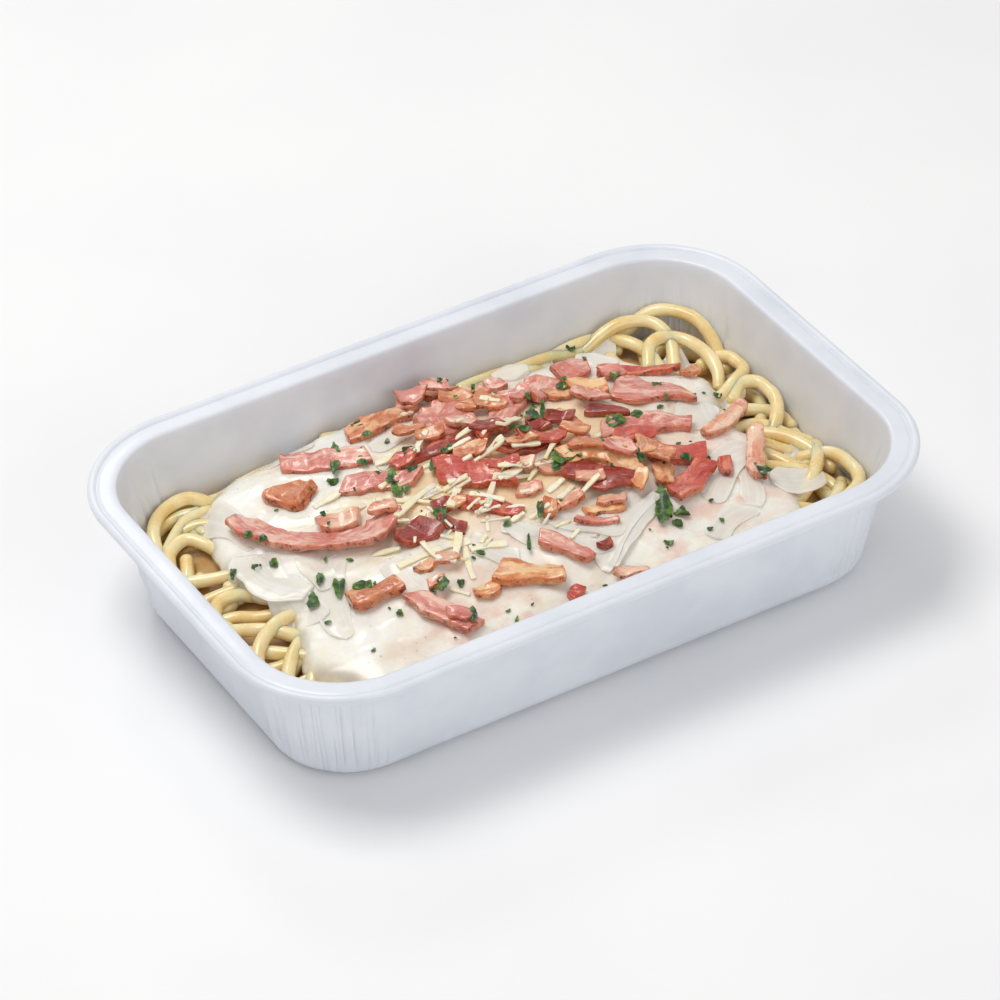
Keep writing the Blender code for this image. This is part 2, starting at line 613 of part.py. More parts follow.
def leaf_mesh(name, place, normal, turn, length, width):
    """A parsley flake: a thin wavy solid with notched lobes, both faces split alike."""
    along = Vector((math.cos(math.radians(turn)), math.sin(math.radians(turn)), 0))
    side = normal.cross(along).normalized()
    along = side.cross(normal).normalized()
    rim = []
    for step in range(LEAF_LOBES):
        angle = 2 * math.pi * step / LEAF_LOBES
        reach = 1.0 if step % 2 else LEAF_NOTCH
        rim.append((math.cos(angle) * reach * length / 2, math.sin(angle) * reach * width / 2,
                    LEAF_WAVE * math.sin(2 * angle + turn)))
    flat = [(0.0, 0.0, LEAF_WAVE / 2)] + rim
    points = []
    for offset in (-LEAF_THICKNESS / 2, LEAF_THICKNESS / 2):
        for u, v, w in flat:
            point = place / MM + along * u + side * v + normal * (w + offset)
            points.append(tuple(point))
    count = len(flat)
    faces = []
    for step in range(LEAF_LOBES):
        here, there = 1 + step, 1 + (step + 1) % LEAF_LOBES
        faces += [(0, there, here), (count, count + here, count + there),
                  (here, there, count + there, count + here)]
    return mesh_from(name, points, faces, smooth=False)


def fuse(item, extras):
    """Join extra objects to an item by one union, then drop them and any loose scrap."""
    if not extras:
        return
    group = bpy.data.collections.new(item.name + "_extras")
    bpy.context.scene.collection.children.link(group)
    for extra in extras:
        for owner in list(extra.users_collection):
            owner.objects.unlink(extra)
        group.objects.link(extra)
    union = item.modifiers.new("join", "BOOLEAN")
    union.operation = "UNION"
    union.operand_type = "COLLECTION"
    union.collection = group
    union.solver = "EXACT"
    union.use_self = False
    depsgraph = bpy.context.evaluated_depsgraph_get()
    joined = bpy.data.meshes.new_from_object(item.evaluated_get(depsgraph))
    item.modifiers.remove(union)
    item.data = joined
    for extra in list(group.objects):
        bpy.data.objects.remove(extra)
    bpy.data.collections.remove(group)
    keep_main_body(joined)


def keep_main_body(mesh):
    """Merge near points, split faces into triangles and keep only the outer body."""
    shape = bmesh.new()
    shape.from_mesh(mesh)
    bmesh.ops.remove_doubles(shape, verts=shape.verts, dist=MERGE * MM)
    bmesh.ops.dissolve_degenerate(shape, edges=shape.edges, dist=MERGE * MM)
    bmesh.ops.triangulate(shape, faces=shape.faces)
    shape.verts.ensure_lookup_table()
    seen = set()
    bodies = []
    for vertex in shape.verts:
        if vertex in seen:
            continue
        body, queue = {vertex}, [vertex]
        while queue:
            for edge in queue.pop().link_edges:
                for other in edge.verts:
                    if other not in body:
                        body.add(other)
                        queue.append(other)
        seen |= body
        bodies.append(body)
    bodies.sort(key=len)
    scrap = [vertex for body in bodies[:-1] for vertex in body]
    bmesh.ops.delete(shape, geom=scrap, context="VERTS")
    shape.to_mesh(mesh)
    shape.free()


def carrier_under(x, y, items):
    """The topmost item below a plan point, with the place and slope of its surface."""
    best = (None, None, None)
    for item in items:
        points, faces = solid_of(item.data)
        hit, normal, _, _ = BVHTree.FromPolygons(points, faces).ray_cast(
            Vector((x * MM, y * MM, 1.0)), Vector((0, 0, -1)))
        if hit is not None and (best[1] is None or hit.z > best[1].z):
            best = (item, hit, normal)
    return best


def clear_of(mesh, items):
    """Whether a mesh cuts none of the items."""
    points, faces = solid_of(mesh)
    tree = BVHTree.FromPolygons(points, faces)
    for item in items:
        if tree.overlap(BVHTree.FromPolygons(*solid_of(item.data))):
            return False
    return True


def swollen(mesh, amount):
    """A copy of a mesh grown along its normals, to test that it keeps its distance."""
    copy = mesh.copy()
    for vertex, original in zip(copy.vertices, mesh.vertices):
        vertex.co = original.co + original.normal * amount * MM
    return copy


def add_topping(mesh, carrier, food, extras):
    """Keep a small topping for its carrier if it stays clear of all other pieces."""
    others = [item for item in food if item is not carrier]
    grown = swollen(mesh, TOPPING_CLEAR)
    if clear_of(grown, others):
        extras.setdefault(carrier.name, []).append(mesh)
    bpy.data.meshes.remove(grown)


def material_of(slot):
    """A Principled finish for one kind of piece."""
    colour, roughness, metallic = COLOURS[slot]
    material = bpy.data.materials.new(slot)
    material.use_nodes = True
    shader = material.node_tree.nodes["Principled BSDF"]
    shader.inputs["Base Color"].default_value = (*colour, 1)
    shader.inputs["Roughness"].default_value = roughness
    shader.inputs["Metallic"].default_value = metallic
    return material


def build_spaghetti(collection, material, outline):
    """The packed core with the showing strands fused on."""
    core = new_object("spaghetti", core_mesh(), material, collection)
    strands = [strand_mesh(f"strand_{number}", layer, route, outline, collection, material)
               for number, (layer, *route) in enumerate(STRANDS)]
    fuse(core, strands)
    return core


def lay_strips(kind, strips, steps, heap, collection, material):
    """Strips laid on the heap one after another."""
    items = []
    for number, strip in enumerate(strips, 1):
        name = f"{kind}_{number:02d}"
        mesh = loft(name, strip_rings(strip, 6, steps))
        heap.settle(mesh)
        heap.add(mesh)
        items.append(new_object(name, mesh, material, collection))
    return items


def dress(food, sauce, collection):
    """Cheese shreds and parsley flakes, each fused to the piece that carries it."""
    extras = {}
    for number, (x, y, turn, length) in enumerate(SHREDS):
        carrier, place, _ = carrier_under(x, y, food)
        if carrier is not sauce:
            continue
        shred = Strip(x, y, turn, length, SHRED_WIDTH, SHRED_WIDTH, bend=SHRED_BEND, taper=0.1)
        mesh = loft(f"shred_{number}", strip_rings(shred, 4, 3))
        move(mesh, place.z + (SHRED_RISE - dome(x, y)) * MM)
        add_topping(mesh, sauce, food, extras)
    for number, (x, y, turn, length, width) in enumerate(FLAKES):
        carrier, place, normal = carrier_under(x, y, food)
        raised = place + normal * LEAF_RISE * MM
        mesh = leaf_mesh(f"flake_{number}", raised, normal, turn, length, width)
        add_topping(mesh, carrier, food, extras)
    by_name = {item.name: item for item in food}
    for name, meshes in extras.items():
        slot = by_name[name].data.materials[0]
        fuse(by_name[name], [new_object(mesh.name, mesh, slot, collection) for mesh in meshes])


def main():
    """Build the tray and its food, from the bottom up."""
    for item in list(bpy.data.objects):
        bpy.data.objects.remove(item)
    collection = bpy.data.collections.new("foil_tray_meal")
    bpy.context.scene.collection.children.link(collection)
    materials = {slot: material_of(slot) for slot in COLOURS}
    new_object("tray", tray_mesh(), materials["foil"], collection)
    outline = sauce_outline()
    spaghetti = build_spaghetti(collection, materials["noodle"], outline)
    sauce = new_object("sauce", sauce_mesh(outline), materials["sauce"], collection)
    heap = Heap()
    heap.add(spaghetti.data)
    heap.add(sauce.data)
    onion = lay_strips("onion", ONION, 6, heap, collection, materials["onion"])
    bacon = lay_strips("bacon", BACON, 5, heap, collection, materials["bacon"])
    dress([spaghetti, sauce] + onion + bacon, sauce, collection)


main()
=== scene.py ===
"""Looks of the foil tray meal: pressed tray, spaghetti, cream sauce, bacon, onion, cheese and herbs.

Sizes are in millimetres in the model's own frame: the origin is the centre of the
tray's base, X runs along the tray, +Y is the back and Z is up. They are multiplied
by MM once, when a mesh is made.
"""

import logging
import math
from dataclasses import dataclass, field, replace
from enum import Enum
from typing import Union

import bpy
import numpy as np
from mathutils import Matrix, Vector


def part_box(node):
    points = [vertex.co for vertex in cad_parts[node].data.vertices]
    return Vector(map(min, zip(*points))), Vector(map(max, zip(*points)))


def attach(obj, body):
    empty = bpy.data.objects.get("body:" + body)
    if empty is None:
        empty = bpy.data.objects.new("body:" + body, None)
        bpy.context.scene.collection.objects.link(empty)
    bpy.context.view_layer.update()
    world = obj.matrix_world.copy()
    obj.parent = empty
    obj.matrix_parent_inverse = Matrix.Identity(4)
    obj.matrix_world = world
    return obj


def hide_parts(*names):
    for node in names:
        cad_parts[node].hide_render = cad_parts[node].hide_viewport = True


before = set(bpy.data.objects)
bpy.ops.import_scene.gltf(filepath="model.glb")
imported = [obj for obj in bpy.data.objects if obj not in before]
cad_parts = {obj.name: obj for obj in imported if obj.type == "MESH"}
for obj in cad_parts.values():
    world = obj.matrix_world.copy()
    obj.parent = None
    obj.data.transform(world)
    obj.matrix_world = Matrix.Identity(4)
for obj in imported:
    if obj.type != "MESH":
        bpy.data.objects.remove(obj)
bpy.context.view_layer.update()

log = logging.getLogger("foil_tray_meal")
Array = np.ndarray
Item = bpy.types.Object
Material = bpy.types.Material
Socket = bpy.types.NodeSocket
Span = tuple[float, float]
Triple = tuple[float, float, float]
Colour = Triple

MM = 0.001
BODY = "root"
UP = np.array((0.0, 0.0, 1.0))
# Edges of food that turn more than this many degrees stay sharp
SHARP_FROM = 60

# Food: the dome that it makes over the tray
EDGE_LEVEL = 14.0
DOME_RISE = 11.0
DOME_HALF_X = 76.0
DOME_HALF_Y = 60.0
DOME_BACK = 4.0
CORE_BELOW_DOME = 3.4
SAUCE_BELOW_DOME = 0.9
SAUCE_FROM_WALL = 0.55
SAUCE_EDGE_POINTS = 420
# How far the sauce wells up round what lies on it
PRESSED_UP = 0.45

# Spaghetti that shows past the sauce: its layer in the heap, then its route in plan
STRANDS = (
    (3, (-50, 38), (-54.3, 42), (-59.2, 42), (-63, 40), (-66, 36), (-67.5, 31)),
    (1, (-51, 37), (-56, 37.5), (-61, 35), (-65, 31.5), (-68, 27)),
    (2, (-68, 25), (-65.5, 29.5), (-61, 31), (-58, 27.5), (-56.5, 23), (-54, 18)),
    (1, (-63, 27), (-66, 21), (-69, 17)),
    (1, (-70, 21), (-64, 18), (-56, 14)),
    (1, (-70, 12), (-66, 12), (-58, 10)),
    (2, (-66, -1), (-68, 4), (-65.5, 8), (-61, 8), (-56, 5)),
    (1, (-70, 5), (-64, 3), (-60, -1), (-52, -4)),
    (2, (-70, 2), (-66, -2), (-61, -7), (-55, -13)),
    (3, (-69, -18), (-67, -12), (-62, -8), (-54, -5)),
    (1, (-70, -5), (-65, -10), (-61, -14), (-56, -20)),
    (1, (-70, -10), (-68, -18), (-65, -26), (-62, -32)),
    (2, (-57, -12), (-62, -17), (-66, -23), (-67, -29)),
    (1, (-68, -22), (-64, -31), (-57, -37), (-48, -40)),
    (6, (52, 43), (58, 43.5), (63, 42.7), (67, 39.5), (70, 34.5), (70.8, 29), (69.5, 22)),
    (5, (44, 42), (50, 42.3), (56, 41.6), (60, 40), (62, 37), (62.3, 33), (60, 28)),
    (2, (36, 43), (44, 43.4), (50.5, 42.4), (55, 38.5), (56.5, 33), (56, 28)),
    (1, (14, 43), (24, 43.4), (34, 43.2), (44, 42)),
    (4, (54, 29), (57, 33.5), (61, 34.3), (64.7, 32), (66.3, 27), (66, 20), (64, 16)),
    (4, (65, 25), (69, 24.6), (71.2, 20.5), (70, 15.5), (65, 12.5), (60, 11)),
    (4, (63, 9), (67, 12), (70.6, 10), (70.8, 5), (68.5, -0.5), (64, -5)),
    (1, (57, 5), (63, 6), (69, 3), (71, -3)),
    (1, (56, -1), (63, -1), (67, -6), (71, -10)),
    (2, (60, -3), (65, -8), (68, -14), (69, -21)),
    (3, (71, -12), (66, -20), (60, -26), (50, -31)),
    (1, (55, -15), (61, -19), (65, -25), (66, -31)),
    (4, (65, -15), (69.5, -19), (71, -26), (68.5, -32), (62, -35.5), (56, -36)),
    (2, (50, -34), (58, -34.5), (64, -31), (68, -26)),
)
# The sauce's edge, anticlockwise from the right
SAUCE_EDGE = (
    (60, 10), (62.5, 18), (56, 25), (48, 35), (37, 39.5), (24, 39.5), (12, 43), (-12, 44.5), (-34, 43),
    (-47, 41), (-56, 31), (-59.5, 17), (-59.5, 6), (-54.5, -3), (-57.5, -12), (-61, -22), (-56, -32),
    (-45, -41), (-30, -45), (-12, -46), (18, -46), (38, -45), (50, -39), (56, -30), (57, -22), (56, -14),
    (59.5, -8), (57, 0),
)
# Swells of the sauce: x, y, height and reach
SWELLS = (
    (-46, 33, 1.1, 11), (-50, -26, 0.9, 9), (-38, -34, 0.7, 8), (-12, 40, 0.6, 9), (-20, -35, 0.7, 9),
    (22, -34, 0.8, 9), (44, -30, 0.7, 9), (-48, -2, 0.6, 7), (30, -28, -0.6, 6), (-30, 0, -0.5, 6),
    (-4, -38, -0.5, 8), (44, 34, 0.5, 6),
)


def screen(red: float, green: float, blue: float) -> Colour:
    """A colour as it looks on a screen, 0 to 255, turned into the amounts of light that it stands for."""
    return tuple((value / 255) ** 2.2 for value in (red, green, blue))


def dome(x: Array, y: Array) -> Array:
    """Level of the food: a bowl turned over, a product of two parabolas."""
    along = 1 - (x / DOME_HALF_X) ** 2
    return EDGE_LEVEL + DOME_RISE * along * (1 - ((y - DOME_BACK) / DOME_HALF_Y) ** 2)


def core_top(x: Array, y: Array) -> Array:
    """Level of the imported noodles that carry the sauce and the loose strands."""
    return dome(x, y) - CORE_BELOW_DOME


def smoothstep(value: Array, low: float, high: float) -> Array:
    """A soft rise from 0 at low to 1 at high: 3t squared less 2t cubed."""
    share = np.clip((value - low) / (high - low), 0, 1)
    return share ** 2 * (3 - 2 * share)


def unit(vectors: Array) -> Array:
    """Vectors scaled to a length of one."""
    return vectors / np.maximum(np.linalg.norm(vectors, axis=-1, keepdims=True), 1e-12)


def even_steps(curve: Array, count: int, closed: bool) -> Array:
    """A curve's points moved to even steps along it.

    Args:
        curve: points of the curve, one a row.
        count: number of points wanted.
        closed: whether the last point joins the first.

    Returns:
        The new points, interpolated by length along the curve.
    """
    if closed:
        curve = np.vstack((curve, curve[:1]))
    run = np.concatenate(([0], np.cumsum(np.linalg.norm(np.diff(curve, axis=0), axis=1))))
    wanted = np.linspace(0, run[-1], count, endpoint=not closed)
    return np.column_stack([np.interp(wanted, run, axis) for axis in curve.T])


def spline(knots: Array, closed: bool = False, fine: int = 12) -> Array:
    """A Catmull-Rom curve through knots: each span is the cubic set by four knots in a row.

    Args:
        knots: points that the curve passes through.
        closed: whether the curve runs back to its start.
        fine: points on each span.

    Returns:
        Points along the curve.
    """
    knots = np.asarray(knots, float)
    if closed:
        before, start, end, beyond = np.roll(knots, 1, 0), knots, np.roll(knots, -1, 0), np.roll(knots, -2, 0)
    else:
        padded = np.vstack((2 * knots[0] - knots[1], knots, 2 * knots[-1] - knots[-2]))
        before, start, end, beyond = padded[:-3], padded[1:-2], padded[2:-1], padded[3:]
    t = np.linspace(0, 1, fine, endpoint=False)[None, :, None]
    before, start, end, beyond = (part[:, None] for part in (before, start, end, beyond))
    curve = 0.5 * (2 * start + (end - before) * t + (2 * before - 5 * start + 4 * end - beyond) * t ** 2
                   + (3 * start - before - 3 * end + beyond) * t ** 3)
    curve = curve.reshape(-1, knots.shape[1])
    return curve if closed else np.vstack((curve, knots[-1]))


@dataclass
class Surface:
    """A mesh still being worked out.

    Attributes:
        points: places of the points, in millimetres.
        quads: faces of four points.
        triangles: faces of three points.
        values: numbers or vectors kept at the points for the finish to read.
    """

    points: Array
    quads: Array
    triangles: Array
    values: dict[str, Array] = field(default_factory=dict)

    @classmethod
    def joined(cls, parts: list["Surface"]) -> "Surface":
        """Several surfaces as one, which keep their own points and values."""
        starts = np.cumsum([0] + [len(part.points) for part in parts[:-1]])
        return cls(
            np.concatenate([part.points for part in parts]),
            np.concatenate([part.quads + start for part, start in zip(parts, starts)]),
            np.concatenate([part.triangles + start for part, start in zip(parts, starts)]),
            {name: np.concatenate([part.values[name] for part in parts]) for name in parts[0].values},
        )

    def all_triangles(self) -> Array:
        """Every face as triangles, a quad as two."""
        return np.concatenate((self.triangles, self.quads[:, [0, 1, 2]], self.quads[:, [0, 2, 3]]))

    def normals(self) -> Array:
        """Unit normals at the points, each the sum of its faces' normals."""
        faces = self.all_triangles()
        a, b, c = (self.points[faces[:, corner]] for corner in range(3))
        cross = np.cross(b - a, c - a)
        total = np.zeros_like(self.points)
        for corner in range(3):
            np.add.at(total, faces[:, corner], cross)
        return unit(total)

    def facing_out(self) -> "Surface":
        """The surface with its faces turned outwards, told by the sign of the volume inside."""
        faces = self.all_triangles()
        a, b, c = (self.points[faces[:, corner]] for corner in range(3))
        if np.einsum("ij,ij->i", a, np.cross(b, c)).sum() < 0:
            self.quads = self.quads[:, ::-1]
            self.triangles = self.triangles[:, ::-1]
        return self

    def piece(self, name: str, material: Material, smooth_angle: float = 180) -> Item:
        """Make the surface an object at the origin.

        Args:
            name: the object's name.
            material: its finish.
            smooth_angle: edges that turn more than this many degrees stay sharp.

        Returns:
            The object, linked to the scene.
        """
        mesh = bpy.data.meshes.new(name)
        corners = np.concatenate((self.quads.ravel(), self.triangles.ravel())).astype(np.int32)
        starts = np.concatenate((np.arange(len(self.quads)) * 4,
                                 len(self.quads) * 4 + np.arange(len(self.triangles)) * 3))
        mesh.vertices.add(len(self.points))
        mesh.vertices.foreach_set("co", (self.points * MM).astype(np.float32).ravel())
        mesh.loops.add(len(corners))
        mesh.loops.foreach_set("vertex_index", corners)
        mesh.polygons.add(len(starts))
        mesh.polygons.foreach_set("loop_start", starts.astype(np.int32))
        mesh.update(calc_edges=True)
        mesh.validate()
        mesh.shade_smooth()
        if smooth_angle < 180:
            mesh.set_sharp_from_angle(angle=math.radians(smooth_angle))
        for value_name, value in self.values.items():
            kind, slot = ("FLOAT", "value") if value.ndim == 1 else ("FLOAT_VECTOR", "vector")
            layer = mesh.attributes.new(value_name, kind, "POINT")
            layer.data.foreach_set(slot, value.astype(np.float32).ravel())
        mesh.materials.append(material)
        item = bpy.data.objects.new(name, mesh)
        bpy.context.scene.collection.objects.link(item)
        return item


def skin(rings: Array) -> Surface:
    """A closed skin over rings of points, the first and the last ring drawn to a pole.

    Each face joins two points of a ring to the two of the next, and each pole is
    the middle of its ring.

    Args:
        rings: places as levels by points by three.

    Returns:
        The skin, its points in the order of the rings, then the two poles.
    """
    levels, count, _ = rings.shape
    points = np.concatenate((rings.reshape(-1, 3), rings[0].mean(0)[None], rings[-1].mean(0)[None]))
    here = np.arange(count)
    there = np.roll(here, -1)
    low = (np.arange(levels - 1) * count)[:, None]
    quads = np.stack((low + here, low + there, low + count + there, low + count + here), -1).reshape(-1, 4)
    top = (levels - 1) * count
    first = np.full(count, levels * count)
    triangles = np.concatenate((np.stack((there, here, first), -1),
                                np.stack((top + here, top + there, first + 1), -1)))
    return Surface(points, quads, triangles)


def with_poles(values: Array) -> Array:
    """Values on a skin's rings, with those of its two poles added at the end."""
    flat = values.reshape(-1, *values.shape[2:])
    return np.concatenate((flat, values[0].mean(0)[None], values[-1].mean(0)[None]))


def grained(rings: Array, grain: Array, rim: Array) -> Surface:
    """A skin over rings that keeps each point's place in the grain and how near it is to a cut edge."""
    made = skin(rings)
    made.values = {"grain": with_poles(grain), "rim": with_poles(rim)}
    return made.facing_out()


def held_ends(values: Array, count: int) -> Array:
    """Rows with the first and the last of them held for a number of steps more."""
    return np.concatenate((np.repeat(values[:1], count, 0), values, np.repeat(values[-1:], count, 0)))


def squarish(turn: Array, power: float) -> tuple[Array, Array]:
    """A superellipse round a turn: cos and sin raised to a power, their signs kept."""
    u, v = np.cos(turn), np.sin(turn)
    return np.sign(u) * np.abs(u) ** power, np.sign(v) * np.abs(v) ** power


def stacked(*parts: Array | float) -> Array:
    """Parts spread to one shape, as the last axis of one array."""
    return np.stack(np.broadcast_arrays(*parts), -1)


class Lumps:
    """Seeded smooth noise from -1 to 1: random values on a lattice, blended by smoothsteps."""

    SIDE = 32

    def __init__(self, seed: int) -> None:
        """Draw the lattice."""
        self.lattice = np.random.default_rng(seed).uniform(-1, 1, (self.SIDE,) * 3)

    def at(self, points: Array, size: float, octaves: int = 2) -> Array:
        """Noise at places: a sum of lattices, each half as large and half as strong.

        Args:
            points: places, in millimetres, three to a row.
            size: spacing of the largest lattice.
            octaves: number of lattices.

        Returns:
            One number for each place.
        """
        total = np.zeros(points.shape[:-1])
        for octave in range(octaves):
            place = points * (2 ** octave / size) + 7.3 * octave
            cell = np.floor(place).astype(int)
            part = smoothstep(place - cell, 0, 1)
            for corner in np.ndindex(2, 2, 2):
                weight = np.where(np.array(corner), part, 1 - part).prod(-1)
                index = (cell + np.array(corner)) % self.SIDE
                total += weight * self.lattice[index[..., 0], index[..., 1], index[..., 2]] / 2 ** octave
        return total

    def over_plan(self, x: Array, y: Array, size: float, octaves: int = 2) -> Array:
        """Noise at plan places."""
        return self.at(np.stack((x, y, np.zeros_like(x)), -1), size, octaves)


class PlanMap:
    """Heights over the tray's plan on a square grid, used to lay one thing on another."""

    CELL = 0.5
    HALF_X = 80.0
    HALF_Y = 54.0

    def __init__(self, grid: Array) -> None:
        """Take a grid of heights, rows along Y and columns along X."""
        self.grid = grid

    @classmethod
    def places(cls) -> tuple[Array, Array]:
        """Plan places of the grid's points."""
        x = np.arange(-cls.HALF_X, cls.HALF_X + cls.CELL / 2, cls.CELL)
        y = np.arange(-cls.HALF_Y, cls.HALF_Y + cls.CELL / 2, cls.CELL)
        return np.meshgrid(x, y)

    def raise_to(self, points: Array) -> None:
        """Raise the grid to a cloud of points where they are higher."""
        column = np.rint((points[:, 0] + self.HALF_X) / self.CELL).astype(int)
        row = np.rint((points[:, 1] + self.HALF_Y) / self.CELL).astype(int)
        column = np.clip(column, 0, self.grid.shape[1] - 1)
        row = np.clip(row, 0, self.grid.shape[0] - 1)
        np.maximum.at(self.grid, (row, column), points[:, 2])

    def at(self, x: Array, y: Array) -> Array:
        """Height at plan places, blended between the four grid points around each."""
        column = np.clip((x + self.HALF_X) / self.CELL, 0, self.grid.shape[1] - 1.001)
        row = np.clip((y + self.HALF_Y) / self.CELL, 0, self.grid.shape[0] - 1.001)
        left, low = column.astype(int), row.astype(int)
        u, v = column - left, row - low
        lower = self.grid[low, left] * (1 - u) + self.grid[low, left + 1] * u
        upper = self.grid[low + 1, left] * (1 - u) + self.grid[low + 1, left + 1] * u
        return lower * (1 - v) + upper * v

    def softened(self, reach: float) -> "PlanMap":
        """The map blurred by a bell curve of this reach along both axes."""
        half = int(3 * reach / self.CELL) + 1
        offsets = np.arange(-half, half + 1)
        weights = np.exp(-0.5 * (offsets * self.CELL / reach) ** 2)
        weights /= weights.sum()
        blurred = self.grid
        for axis in (0, 1):
            pad = [(half, half) if a == axis else (0, 0) for a in (0, 1)]
            wide = np.pad(blurred, pad, mode="edge")
            length = blurred.shape[axis]
            blurred = sum(w * np.take(wide, np.arange(k, k + length), axis=axis)
                          for k, w in enumerate(weights))
        return PlanMap(blurred)


Number = Union["Value", float]


class Value:
    """A socket that carries a number, so that sums on it add their Math nodes."""

    def __init__(self, shade: "Shade", socket: Socket) -> None:
        """Wrap a socket of a material."""
        self.shade = shade
        self.socket = socket

    def __add__(self, other: Number) -> "Value":
        """Sum."""
        return self.shade.sum("ADD", self, other)

    def __sub__(self, other: Number) -> "Value":
        """Difference."""
        return self.shade.sum("SUBTRACT", self, other)

    def __rsub__(self, other: Number) -> "Value":
        """Difference from a number."""
        return self.shade.sum("SUBTRACT", other, self)

    def __mul__(self, other: Number) -> "Value":
        """Product."""
        return self.shade.sum("MULTIPLY", self, other)

    def rise(self, low: float, high: float) -> "Value":
        """A soft step from 0 at low to 1 at high."""
        node = self.shade.node("ShaderNodeMapRange", {"interpolation_type": "SMOOTHSTEP"},
                               {"Value": self, "From Min": low, "From Max": high})
        return Value(self.shade, node.outputs["Result"])


Input = Union[Value, Socket, Colour]


@dataclass(frozen=True)
class Gloss:
    """How a finish takes light, sizes in millimetres.

    Attributes:
        rough: least roughness.
        spread: how much rougher the roughest patches are.
        patch: size of the patches.
        detail: octaves in the patches' noise.
        depth: depth of the fine relief.
        coat: share of a wet clear coat.
        coat_rough: roughness of the coat.
        glow: share of the light that goes in and comes out again.
        glow_reach: how far that light goes.
        glow_tint: how far its red, green and blue go, as shares of the reach.
    """

    rough: float
    spread: float
    patch: float
    detail: float
    depth: float
    coat: float = 0.0
    coat_rough: float = 0.03
    glow: float = 0.0
    glow_reach: float = 1.0
    glow_tint: Colour = (1.0, 0.5, 0.3)


class Shade:
    """A material's nodes, each added in the same way: settings first, then its inputs."""

    def __init__(self, name: str) -> None:
        """Start a material with nothing in it."""
        self.material = bpy.data.materials.new(name)
        self.material.use_nodes = True
        self.tree = self.material.node_tree
        self.tree.nodes.clear()

    def node(self, kind: str, settings: dict | None = None, inputs: dict | None = None) -> bpy.types.Node:
        """Add a node.

        Args:
            kind: the node's type.
            settings: its properties, set first.
            inputs: values or links, by the socket's name or number.

        Returns:
            The node.
        """
        node = self.tree.nodes.new(kind)
        for name, value in (settings or {}).items():
            setattr(node, name, value)
        for key, value in (inputs or {}).items():
            socket = node.inputs[key]
            if isinstance(value, Value):
                value = value.socket
            if isinstance(value, Socket):
                self.tree.links.new(value, socket)
            elif socket.type == "RGBA" and len(value) == 3:
                socket.default_value = (*value, 1)
            else:
                socket.default_value = value
        return node

    def sum(self, operation: str, first: Number, second: Number) -> Value:
        """A Math node on two numbers."""
        node = self.node("ShaderNodeMath", {"operation": operation}, {0: first, 1: second})
        return Value(self, node.outputs[0])

    def place(self) -> Socket:
        """The object's own coordinates, in millimetres."""
        own = self.node("ShaderNodeTexCoord").outputs["Object"]
        return self.scaled(own, (1 / MM, 1 / MM, 1 / MM))

    def scaled(self, vector: Socket, factors: Colour) -> Socket:
        """A vector multiplied along each axis."""
        node = self.node("ShaderNodeVectorMath", {"operation": "MULTIPLY"}, {0: vector, 1: factors})
        return node.outputs[0]

    def kept(self, name: str) -> Socket:
        """A vector that a surface keeps at its points under a name."""
        return self.node("ShaderNodeAttribute", {"attribute_name": name}).outputs["Vector"]

    def kept_value(self, name: str) -> Value:
        """A number that a surface keeps at its points under a name."""
        return Value(self, self.node("ShaderNodeAttribute", {"attribute_name": name}).outputs["Fac"])

    def noise(self, vector: Socket, size: float, detail: float = 3.0,
              rough: float = 0.5, bend: float = 0.0) -> Value:
        """Cloud noise around 0.5, its lumps of a size in millimetres."""
        node = self.node("ShaderNodeTexNoise", {}, {"Vector": vector, "Scale": 1 / size, "Detail": detail,
                                                    "Roughness": rough, "Distortion": bend})
        return Value(self, node.outputs["Fac"])

    def cells(self, vector: Socket, size: float) -> Value:
        """Distance to the nearest of scattered points, in cells of a size in millimetres."""
        node = self.node("ShaderNodeTexVoronoi", {}, {"Vector": vector, "Scale": 1 / size})
        return Value(self, node.outputs["Distance"])

    def mixed(self, share: Number, first: Input, second: Input) -> Socket:
        """A colour between two, by a share from 0 to 1."""
        return self.node("ShaderNodeMix", {"data_type": "RGBA"}, {0: share, 6: first, 7: second}).outputs[2]

    def finished(self, gloss: Gloss, colour: Input, relief: Number, over: Socket,
                 alpha: Number = 1.0) -> Material:
        """Close the material with a Principled shader.

        Args:
            gloss: how it takes light.
            colour: the base colour.
            relief: height of the fine relief, from 0 to 1.
            over: the place that its rougher patches follow.
            alpha: how solid it is.

        Returns:
            The material.
        """
        patches = self.noise(over, gloss.patch, gloss.detail)
        bump = self.node("ShaderNodeBump", {}, {"Height": relief, "Distance": gloss.depth * MM})
        shader = self.node("ShaderNodeBsdfPrincipled", {}, {
            "Base Color": colour, "Roughness": patches * gloss.spread + gloss.rough,
            "Normal": bump.outputs["Normal"], "Alpha": alpha,
            "Coat Weight": gloss.coat, "Coat Roughness": gloss.coat_rough,
            "Subsurface Weight": gloss.glow, "Subsurface Radius": gloss.glow_tint,
            "Subsurface Scale": gloss.glow_reach * MM,
        })
        self.node("ShaderNodeOutputMaterial", {}, {"Surface": shader.outputs["BSDF"]})
        return self.material


